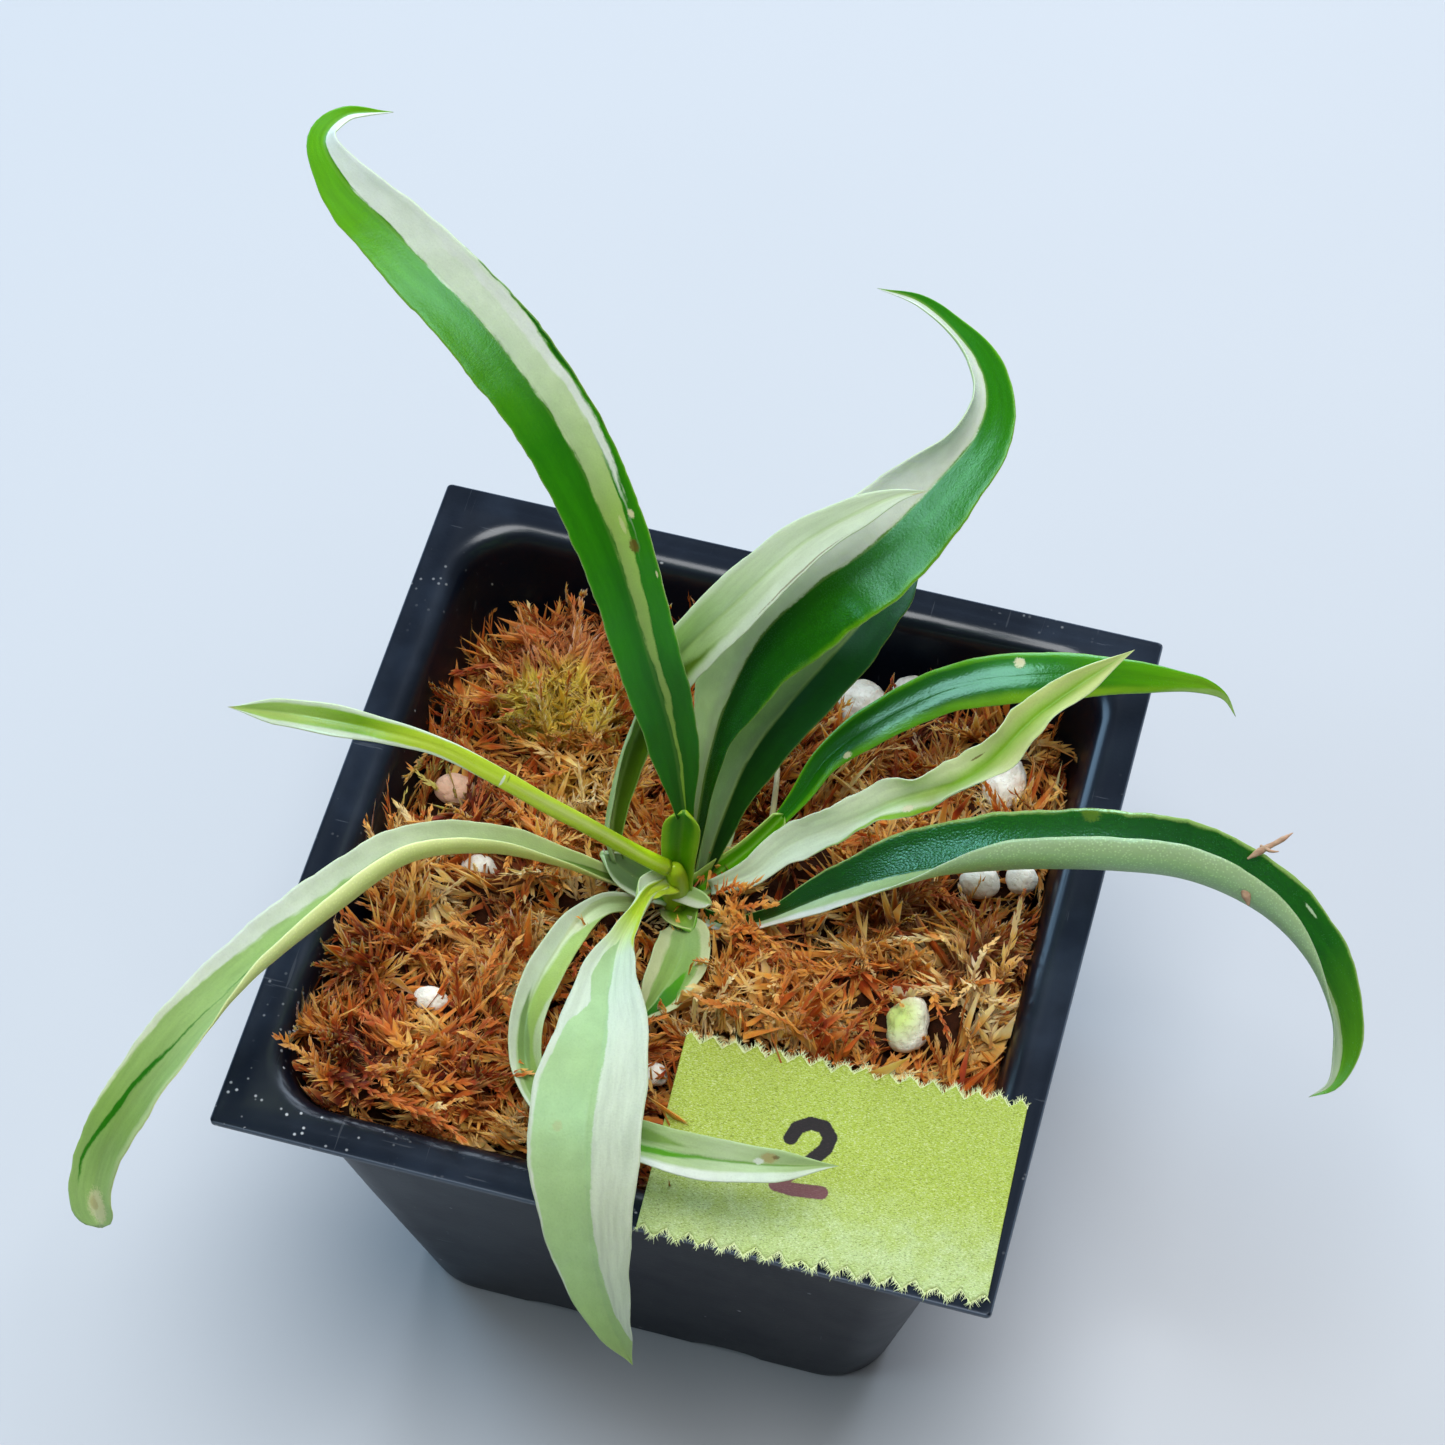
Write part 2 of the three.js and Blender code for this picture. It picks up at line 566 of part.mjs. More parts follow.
// The height of the moss at a place, lower towards the back, in clumps and tufts
function mossHeight(x, y) {
  const slope = y > 0 ? moss.fallBack : moss.fallFront;
  const bumps = moss.bumps.map(({ height, span, layer }) => height * noise.noise(x / span, y / span, layer));
  return Math.min(bumps.reduce((sum, bump) => sum + bump, moss.middle - slope * y), moss.highest);
}

// The moss body, which follows the pot's inside with a small gap, under its uneven top
function mossBody() {
  const cells = moss.cells;
  const floorZ = pot.floor + clearance;
  const point = (i, j) => {
    const square = new THREE.Vector2(2 * i / cells - 1, 2 * j / cells - 1);
    const z = mossHeight(square.x * insideHalf(pot.height), square.y * insideHalf(pot.height));
    const half = insideHalf(z) - clearance;
    const radius = pot.mouth.radius;
    const across = square.clone().multiplyScalar(half);
    const beyond = new THREE.Vector2(Math.abs(across.x), Math.abs(across.y)).subScalar(half - radius);
    const corner = Math.max(Math.min(beyond.x, beyond.y), 0);
    const pull = 1 - (1 - Math.SQRT1_2) * corner / half;
    return new THREE.Vector3(across.x * pull, across.y * pull, z);
  };
  const points = [];
  const triangles = [];
  const index = (i, j) => i * (cells + 1) + j;
  for (let i = 0; i <= cells; i += 1) {
    for (let j = 0; j <= cells; j += 1) {
      points.push(point(i, j));
    }
  }
  for (let i = 0; i < cells; i += 1) {
    for (let j = 0; j < cells; j += 1) {
      triangles.push([index(i, j), index(i + 1, j), index(i + 1, j + 1)]);
      triangles.push([index(i, j), index(i + 1, j + 1), index(i, j + 1)]);
    }
  }
  const count = [...Array(cells).keys()];
  const border = [
    ...count.map((k) => index(k, 0)),
    ...count.map((k) => index(cells, k)),
    ...count.map((k) => index(cells - k, cells)),
    ...count.map((k) => index(0, cells - k)),
  ];
  const shrink = (insideHalf(floorZ) - clearance) / (insideHalf(pot.height) - clearance);
  const first = points.length;
  border.forEach((b) => points.push(new THREE.Vector3(points[b].x * shrink, points[b].y * shrink, floorZ)));
  points.push(new THREE.Vector3(0, 0, floorZ));
  border.forEach((b, k) => {
    const next = (k + 1) % border.length;
    triangles.push([first + k, first + next, border[next]], [first + k, border[next], b]);
    triangles.push([points.length - 1, first + next, first + k]);
  });
  return solidFrom(geometryFrom(points, triangles));
}

// Seeded strands that lie on the moss and rise out of it, and those that stand over the rim
function mossStrands() {
  THREE.MathUtils.seededRandom(strand.seed);
  const random = (low, high) => THREE.MathUtils.lerp(low, high, THREE.MathUtils.seededRandom());
  const paths = [...rimStrands];
  while (paths.length < strand.count) {
    const middle = new THREE.Vector2(random(-1, 1), random(-1, 1)).multiplyScalar(strand.reach);
    const heading = random(0, 2 * Math.PI);
    const step = new THREE.Vector2(random(...strand.length) / 2, 0);
    step.rotateAround(new THREE.Vector2(), heading);
    const rise = random(...strand.rise);
    const start = middle.clone().sub(step);
    const end = middle.clone().add(step);
    const underLabel = end.x > 0 && end.y < strand.labelEdge;
    if (Math.max(Math.abs(end.x), Math.abs(end.y)) < strand.reach && !underLabel) {
      const point = ({ x, y }, above) => [x, y, mossHeight(x, y) + above];
      paths.push([point(start, -strand.sunk), point(middle, 0), point(end, rise)]);
    }
  }
  return paths.map((path) => solidFrom(tube({ path, radii: strand.radii }, strand.sides, strand.steps)));
}

function crownBody(grow = 0) {
  const parts = [
    solidFrom(tube(stem, 10, 6, grow)),
    ...sheaths.map((sheath) => solidFrom(blade(sheath, grow))),
    ...roots.map((root) => solidFrom(tube(root, 5, 6, grow))),
  ];
  return wasm.Manifold.union(parts);
}

// One worn chip of pumice, or its shape made larger all round by grow
function chip({ at, size }, number, grow = 0) {
  const geometry = new THREE.IcosahedronGeometry(1, 1);
  const position = geometry.attributes.position;
  for (let i = 0; i < position.count; i += 1) {
    const p = new THREE.Vector3().fromBufferAttribute(position, i);
    const q = p.clone().multiplyScalar(chipBump.pitch);
    const bump = 1 + chipBump.height * noise.noise(q.x + chipBump.apart * number, q.y, q.z);
    position.setXYZ(
      i,
      at[0] + p.x * (size[0] * bump + grow),
      at[1] + p.y * (size[1] * bump + grow),
      at[2] + p.z * (size[2] * bump + grow),
    );
  }
  return geometry;
}

// The strip of paper tape, with a row of teeth along its two cut ends, flat on the pot's flange
function labelGeometry() {
  const [width, height] = label.size;
  const points = [];
  const toothRow = (sign) => {
    for (let k = 0; k <= 2 * label.teeth; k += 1) {
      const x = -sign * (width / 2 - k * width / (2 * label.teeth));
      points.push(new THREE.Vector2(x, -sign * (height / 2 - (k % 2) * label.tooth)));
    }
  };
  toothRow(1);
  toothRow(-1);
  const outline = new THREE.Shape(points);
  const geometry = new THREE.ExtrudeGeometry(outline, { depth: label.thickness, bevelEnabled: false });
  geometry.rotateZ(label.turn).translate(label.centre[0], label.centre[1], pot.height);
  return geometry;
}

function mesh(name, geometry, color, roughness) {
  const piece = new THREE.Mesh(geometry, new THREE.MeshStandardMaterial({ color, roughness, metalness: 0 }));
  piece.name = name;
  return piece;
}

const leafCuts = wasm.Manifold.union(Object.values(leaves).map((leaf) => solidFrom(blade(leaf, clearance))));
const chipCuts = wasm.Manifold.union(chips.map((spec, i) => solidFrom(chip(spec, i, clearance))));
const crown = largest(crownBody().subtract(leafCuts));
const mossSolid = wasm.Manifold.union([mossBody(), ...mossStrands()])
  .subtract(potSolid(clearance))
  .subtract(crownBody(clearance))
  .subtract(leafCuts)
  .subtract(chipCuts);

const plant = new THREE.Group();
plant.add(mesh('pot', geometryOf(potSolid()), 0x23252a, 0.45));
plant.add(mesh('moss', geometryOf(largest(mossSolid)), 0xa8703a, 0.95));
plant.add(mesh('label', labelGeometry(), 0xb5d05a, 0.7));
plant.add(mesh('crown', geometryOf(crown), 0x86b13a, 0.5));
for (const [name, leaf] of Object.entries(leaves)) {
  plant.add(mesh(name, blade(leaf), leaf.color, 0.4));
}
chips.forEach((spec, i) => plant.add(mesh(`pumice_${i + 1}`, chip(spec, i), 0xe8e4da, 0.9)));

export default plant;
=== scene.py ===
import json
import math
import random

import bmesh
import bpy
from mathutils import Matrix, Vector, noise

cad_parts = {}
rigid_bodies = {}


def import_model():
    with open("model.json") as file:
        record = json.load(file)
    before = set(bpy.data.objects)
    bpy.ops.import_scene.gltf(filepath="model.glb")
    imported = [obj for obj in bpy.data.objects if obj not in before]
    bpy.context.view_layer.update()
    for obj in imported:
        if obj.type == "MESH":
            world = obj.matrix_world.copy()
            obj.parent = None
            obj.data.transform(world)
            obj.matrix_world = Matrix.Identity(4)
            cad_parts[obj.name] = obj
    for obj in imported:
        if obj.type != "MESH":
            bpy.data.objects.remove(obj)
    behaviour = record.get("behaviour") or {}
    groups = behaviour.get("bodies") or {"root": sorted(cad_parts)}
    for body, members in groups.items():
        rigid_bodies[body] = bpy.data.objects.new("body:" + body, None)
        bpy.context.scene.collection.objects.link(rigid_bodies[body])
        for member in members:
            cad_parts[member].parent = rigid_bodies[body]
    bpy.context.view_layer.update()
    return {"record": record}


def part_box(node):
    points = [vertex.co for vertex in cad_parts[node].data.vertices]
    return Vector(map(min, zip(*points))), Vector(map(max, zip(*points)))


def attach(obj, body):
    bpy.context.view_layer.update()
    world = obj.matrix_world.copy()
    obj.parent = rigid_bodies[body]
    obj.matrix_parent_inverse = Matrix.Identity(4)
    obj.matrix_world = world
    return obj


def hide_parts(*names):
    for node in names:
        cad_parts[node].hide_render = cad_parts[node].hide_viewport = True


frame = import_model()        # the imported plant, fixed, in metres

mm = 0.001
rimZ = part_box("pot")[1][2]
print("frame loaded, rim at", round(rimZ / mm, 2), "mm")


# One socket of a node tree. Expressions on wires add the Math or Vector Math nodes they need.
class Wire:
    def __init__(self, sheet, socket):
        self.sheet = sheet
        self.socket = socket

    def pick(self, name):
        return Wire(self.sheet, self.socket.node.outputs[name])

    def __add__(self, other):
        return self.sheet.maths("ADD", self, other)

    def __sub__(self, other):
        return self.sheet.maths("SUBTRACT", self, other)

    def __rsub__(self, other):
        return self.sheet.maths("SUBTRACT", other, self)

    def __mul__(self, other):
        return self.sheet.maths("MULTIPLY", self, other)

    def __truediv__(self, other):
        return self.sheet.maths("DIVIDE", self, other)

    def __rtruediv__(self, other):
        return self.sheet.maths("DIVIDE", other, self)

    def __neg__(self):
        return self.sheet.maths("MULTIPLY", self, -1)

    __radd__ = __add__
    __rmul__ = __mul__


# A node tree under construction, for shading and for geometry alike
class Sheet:
    def __init__(self, tree):
        self.tree = tree

    def node(self, kind, settings=None, values=None, out=0):
        made = self.tree.nodes.new(kind)
        for name, value in (settings or {}).items():
            setattr(made, name, value)
        for key, value in (values or {}).items():
            if isinstance(value, Wire):
                self.tree.links.new(value.socket, made.inputs[key])
            else:
                made.inputs[key].default_value = value
        return Wire(self, made.outputs[out]) if made.outputs else made

    def maths(self, operation, *values):
        wide = any(isinstance(v, tuple) or isinstance(v, Wire) and v.socket.type == "VECTOR" for v in values)
        kind = "ShaderNodeVectorMath" if wide else "ShaderNodeMath"
        filled = [(v,) * 3 if wide and isinstance(v, (int, float)) else v for v in values]
        return self.node(kind, {"operation": operation}, dict(enumerate(filled)))

    def measure(self, operation, *values):
        return self.node("ShaderNodeVectorMath", {"operation": operation}, dict(enumerate(values)), "Value")

    def rise(self, value, low, high, bottom=0.0, top=1.0):
        return self.node("ShaderNodeMapRange", {"interpolation_type": "SMOOTHSTEP"},
                         {0: value, 1: low, 2: high, 3: bottom, 4: top})

    def fall(self, value, low, high):
        return self.rise(value, low, high, 1.0, 0.0)

    def join(self, x, y, z):
        return self.node("ShaderNodeCombineXYZ", {}, {0: x, 1: y, 2: z})

    def split(self, vector):
        parts = self.node("ShaderNodeSeparateXYZ", {}, {0: vector})
        return parts, parts.pick("Y"), parts.pick("Z")

    def cloud(self, place, scale, detail=2.0, roughness=0.5, kind="3D"):
        key = "W" if kind == "1D" else "Vector"
        return self.node("ShaderNodeTexNoise", {"noise_dimensions": kind},
                         {key: place, "Scale": scale, "Detail": detail, "Roughness": roughness})


# A material's tree. Its surface is the shader that whatever changes over the piece feeds.
class Finish(Sheet):
    def __init__(self, name, **fixed):
        self.material = bpy.data.materials.new(name)
        self.material.use_nodes = True
        super().__init__(self.material.node_tree)
        self.surface = self.tree.nodes["Principled BSDF"]
        for key, value in fixed.items():
            self.surface.inputs[key.replace("_", " ")].default_value = value
        self.place = self.node("ShaderNodeTexCoord", {}, {}, "Object")

    def feed(self, **values):
        for key, value in values.items():
            self.tree.links.new(value.socket, self.surface.inputs[key.replace("_", " ")])
        return self.material

    def read(self, name, out="Fac"):
        return self.node("ShaderNodeAttribute", {"attribute_name": name}, {}, out)

    def cells(self, place, scale):
        return self.node("ShaderNodeTexVoronoi", {}, {"Vector": place, "Scale": scale})

    def relief(self, height, strength, distance):
        return self.node("ShaderNodeBump", {},
                         {"Height": height, "Strength": strength, "Distance": distance})

    def tint(self, share, first, second):
        return self.node("ShaderNodeMix", {"data_type": "RGBA"}, {0: share, 6: first, 7: second}, 2)

    # A colour made darker or lighter by a share, whether it is fixed or comes from a wire
    def shade(self, colour, share):
        if isinstance(colour, tuple):
            return tuple([min(v * share, 1.0) for v in colour[:3]] + [1.0])
        return self.node("ShaderNodeMix", {"data_type": "RGBA", "blend_type": "MULTIPLY"},
                         {0: 1.0, 6: colour, 7: (share, share, share, 1)}, 2)

    def ramp(self, share, stops):
        made = self.node("ShaderNodeValToRGB", {}, {0: share})
        elements = made.socket.node.color_ramp.elements
        while len(elements) < len(stops):
            elements.new(0.5)
        for element, (place, colour) in zip(elements, stops):
            element.position = place
            element.color = colour
        return made

    # Coats of colour, one over the other: each by the wire that shows it, the value where it starts, the
    # value where it is full, how strong it gets, and its hue
    def coat(self, colour, *coats):
        for wire, start, full, share, hue in coats:
            colour = self.tint(self.rise(wire, start, full) * share, colour, tone(*hue))
        return colour

    # A round spot, full up to its core and gone at its reach
    def spot(self, middle, core, reach, waver=0.0):
        return self.fall(self.measure("DISTANCE", self.place, middle) + waver, core, reach)


# A geometry tree with its inputs by name
class Growth(Sheet):
    def __init__(self, name, *inlets):
        super().__init__(bpy.data.node_groups.new(name, "GeometryNodeTree"))
        for inlet, kind, *value in (("Geometry", "Geometry"), *inlets, ("Finish", "Material")):
            socket = self.tree.interface.new_socket(inlet, in_out="INPUT", socket_type="NodeSocket" + kind)
            if value:
                socket.default_value = value[0]
        self.start = self.node("NodeGroupInput")

    def geometry(self, kind, shape, settings=None, **values):
        named = {key.replace("_", " "): value for key, value in values.items()}
        return self.node("GeometryNode" + kind, settings, {0: shape, **named})

    def given(self, *names):
        wires = [self.start.pick(name) for name in names]
        return wires if len(wires) > 1 else wires[0]

    def named(self, name, kind="FLOAT"):
        return self.node("GeometryNodeInputNamedAttribute", {"data_type": kind}, {"Name": name})

    def keep(self, shape, name, value, kind="FLOAT", domain="POINT"):
        return self.geometry("StoreNamedAttribute", shape, {"data_type": kind, "domain": domain},
                             Name=name, Value=value)

    def chance(self, low, high, seed):
        return self.node("FunctionNodeRandomValue", {"data_type": "FLOAT"}, {2: low, 3: high, 8: seed}, 1)

    def place(self):
        return self.node("GeometryNodeInputPosition")

    def angles(self, euler):
        return self.node("FunctionNodeEulerToRotation", {}, {"Euler": euler})

    def turned(self, rotation, euler, space):
        return self.node("FunctionNodeRotateRotation", {"rotation_space": space},
                         {"Rotation": rotation, "Rotate By": self.angles(euler)})

    def smooth(self, shape):
        return self.geometry("SetShadeSmooth", shape, {"domain": "FACE"}, Shade_Smooth=True)

    def kinds(self, collection):
        return self.geometry("CollectionInfo", collection, {"transform_space": "ORIGINAL"},
                             Separate_Children=True, Reset_Children=True)

    def end(self, shape):
        whole = self.geometry("RealizeInstances", shape)
        dressed = self.geometry("SetMaterial", whole, Material=self.given("Finish"))
        self.tree.interface.new_socket("Geometry", in_out="OUTPUT", socket_type="NodeSocketGeometry")
        self.node("NodeGroupOutput", {}, {0: dressed})
        return self


# A colour as seen on a screen, 0 to 255, made linear
def tone(*shown):
    shares = [v / 255 for v in shown]
    return (*[v / 12.92 if v <= 0.04045 else ((v + 0.055) / 1.055) ** 2.4 for v in shares], 1.0)


def newObject(name, mesh):
    thing = bpy.data.objects.new(name, mesh)
    bpy.context.scene.collection.objects.link(thing)
    return thing


# Runs a geometry tree on a guide mesh and leaves the plain result
def grow(name, guide, growth, **values):
    thing = newObject(name, guide)
    modifier = thing.modifiers.new("grow", "NODES")
    modifier.node_group = growth.tree
    for item in growth.tree.interface.items_tree:
        if item.in_out == "INPUT" and item.name in values:
            modifier[item.identifier] = values[item.name]
    bpy.context.view_layer.update()
    result = bpy.data.meshes.new_from_object(thing.evaluated_get(bpy.context.evaluated_depsgraph_get()))
    thing.modifiers.remove(modifier)
    thing.data = result
    result.name = name
    return thing


def settle(piece, slot, *nodes):
    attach(piece, "root")
    if nodes:
        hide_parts(*nodes)


# Keeps one value or vector for each point of a mesh
def mark(mesh, name, values):
    isVector = not isinstance(values[0], (int, float))
    attribute = mesh.attributes.new(name, "FLOAT_VECTOR" if isVector else "FLOAT", "POINT")
    if isVector:
        attribute.data.foreach_set("vector", [v for vector in values for v in vector])
    else:
        attribute.data.foreach_set("value", values)


# The guide that a tree follows: points in a row, or joined as the edges say, with marks on them
def guideMesh(name, points, marks, edges=None):
    mesh = bpy.data.meshes.new(name)
    mesh.from_pydata(points, edges or [(i, i + 1) for i in range(len(points) - 1)], [])
    for key, values in marks.items():
        mark(mesh, key, values)
    return mesh


# Puts a bmesh into a mesh, with all faces turned outwards
def turnOut(shape, mesh):
    bmesh.ops.recalc_face_normals(shape, faces=shape.faces)
    shape.to_mesh(mesh)
    shape.free()
    return mesh


def noiseAt(*place):
    return noise.noise(Vector(place))


# A smooth value at t, from 0 to 1, along a row of numbers at even distances. One number stays as it is.
def along(values, t):
    if isinstance(values, (int, float)):
        return values
    place = t * (len(values) - 1)
    i = min(int(place), len(values) - 2)
    s = place - i
    return values[i] + (values[i + 1] - values[i]) * (s + s * s * (3 - 2 * s)) / 2


# What is left of a breadth near the tip, which is rounded off over a share of the length
def roundEnd(t, share, least):
    return math.sqrt(max(1 - max((t - 1 + share) / share, 0) ** 2, least))


# Even steps along a smooth curve through some points, in metres
def smoothPath(points, count, finePerKnot=40):
    knots = [Vector(p) * mm for p in points]
    knots = [2 * knots[0] - knots[1], *knots, 2 * knots[-1] - knots[-2]]
    fine = []
    for a, b, c, d in zip(knots, knots[1:], knots[2:], knots[3:]):
        first, middle, last = [math.sqrt((q - p).length) for p, q in ((a, b), (b, c), (c, d))]
        leave = ((b - a) / first - (c - a) / (first + middle) + (c - b) / middle) * middle
        arrive = ((c - b) / middle - (d - b) / (middle + last) + (d - c) / last) * middle
        for k in range(finePerKnot):
            s = k / finePerKnot
            fine.append(b + s * leave + s * s * (3 * (c - b) - 2 * leave - arrive)
                        + s ** 3 * (2 * (b - c) + leave + arrive))
    fine.append(knots[-2])
    run = [0.0]
    for p, q in zip(fine, fine[1:]):
        run.append(run[-1] + (q - p).length)
    path, i = [], 0
    for k in range(count):
        target = run[-1] * k / (count - 1)
        while i < len(run) - 2 and run[i + 1] < target:
            i += 1
        path.append(fine[i].lerp(fine[i + 1], (target - run[i]) / (run[i + 1] - run[i])))
    return path


# The leaves
# Each leaf by its midrib's points, the way its upper face looks, its half width and the thickness at its
# rib, and how far its halves turn up, in millimetres and degrees, from stalk to tip. A "fold" stands for
# both halves. A band of colour lies between two lines across the blade, from -1, the left edge, to 1, the
# right edge, and ends with its softness. A mark is its place across and along, its breadth and length in
# millimetres, its hue and its strength.
blade = {
    "columns": 37, "rowsPerMm": 1.7, "thickness": 0.22, "ruffle": 0.22, "uneven": 0.05, "bands": 4,
    # the tree's own sizes, in metres, and shares
    "broad": (0.001, 0.0025), "lobeScale": 0.35, "ruffleScale": 0.14, "leastFold": 0.0007, "foldAtRib": 0.4,
    "foldMore": 1.2, "leanReach": 0.0006, "thinFrom": 0.86, "edgeThin": 0.45, "keelWide": 0.0004,
    "keelShare": 0.12, "ribSunk": 0.0003, "channel": 0.00012, "sideApart": 31, "fewestRows": 16,
    "measureSteps": 200,
}

hues = {
    "ink": (20, 48, 10), "deep": (14, 62, 0), "bottle": (22, 84, 0), "green": (36, 112, 0),
    "grass": (80, 146, 0), "yellowGreen": (122, 164, 30), "olive": (84, 112, 22), "fern": (128, 160, 84),
    "lime": (152, 180, 92), "sage": (152, 180, 116), "leek": (158, 188, 134), "paleSage": (178, 198, 156),
    "butter": (184, 196, 128), "buttermilk": (190, 202, 152), "cream": (196, 208, 168),
    "mint": (196, 212, 186), "white": (190, 200, 178), "chalk": (214, 222, 212), "grey": (128, 154, 110),
    "slate": (104, 130, 88), "straw": (172, 174, 120), "brown": (96, 58, 24), "young": (158, 190, 22),
    "scab": (208, 200, 164), "bright": (178, 202, 52), "glow": (228, 238, 160), "yolk": (192, 208, 112),
    "tan": (168, 150, 104),
}
hues = {name: tone(*shown) for name, shown in hues.items()}

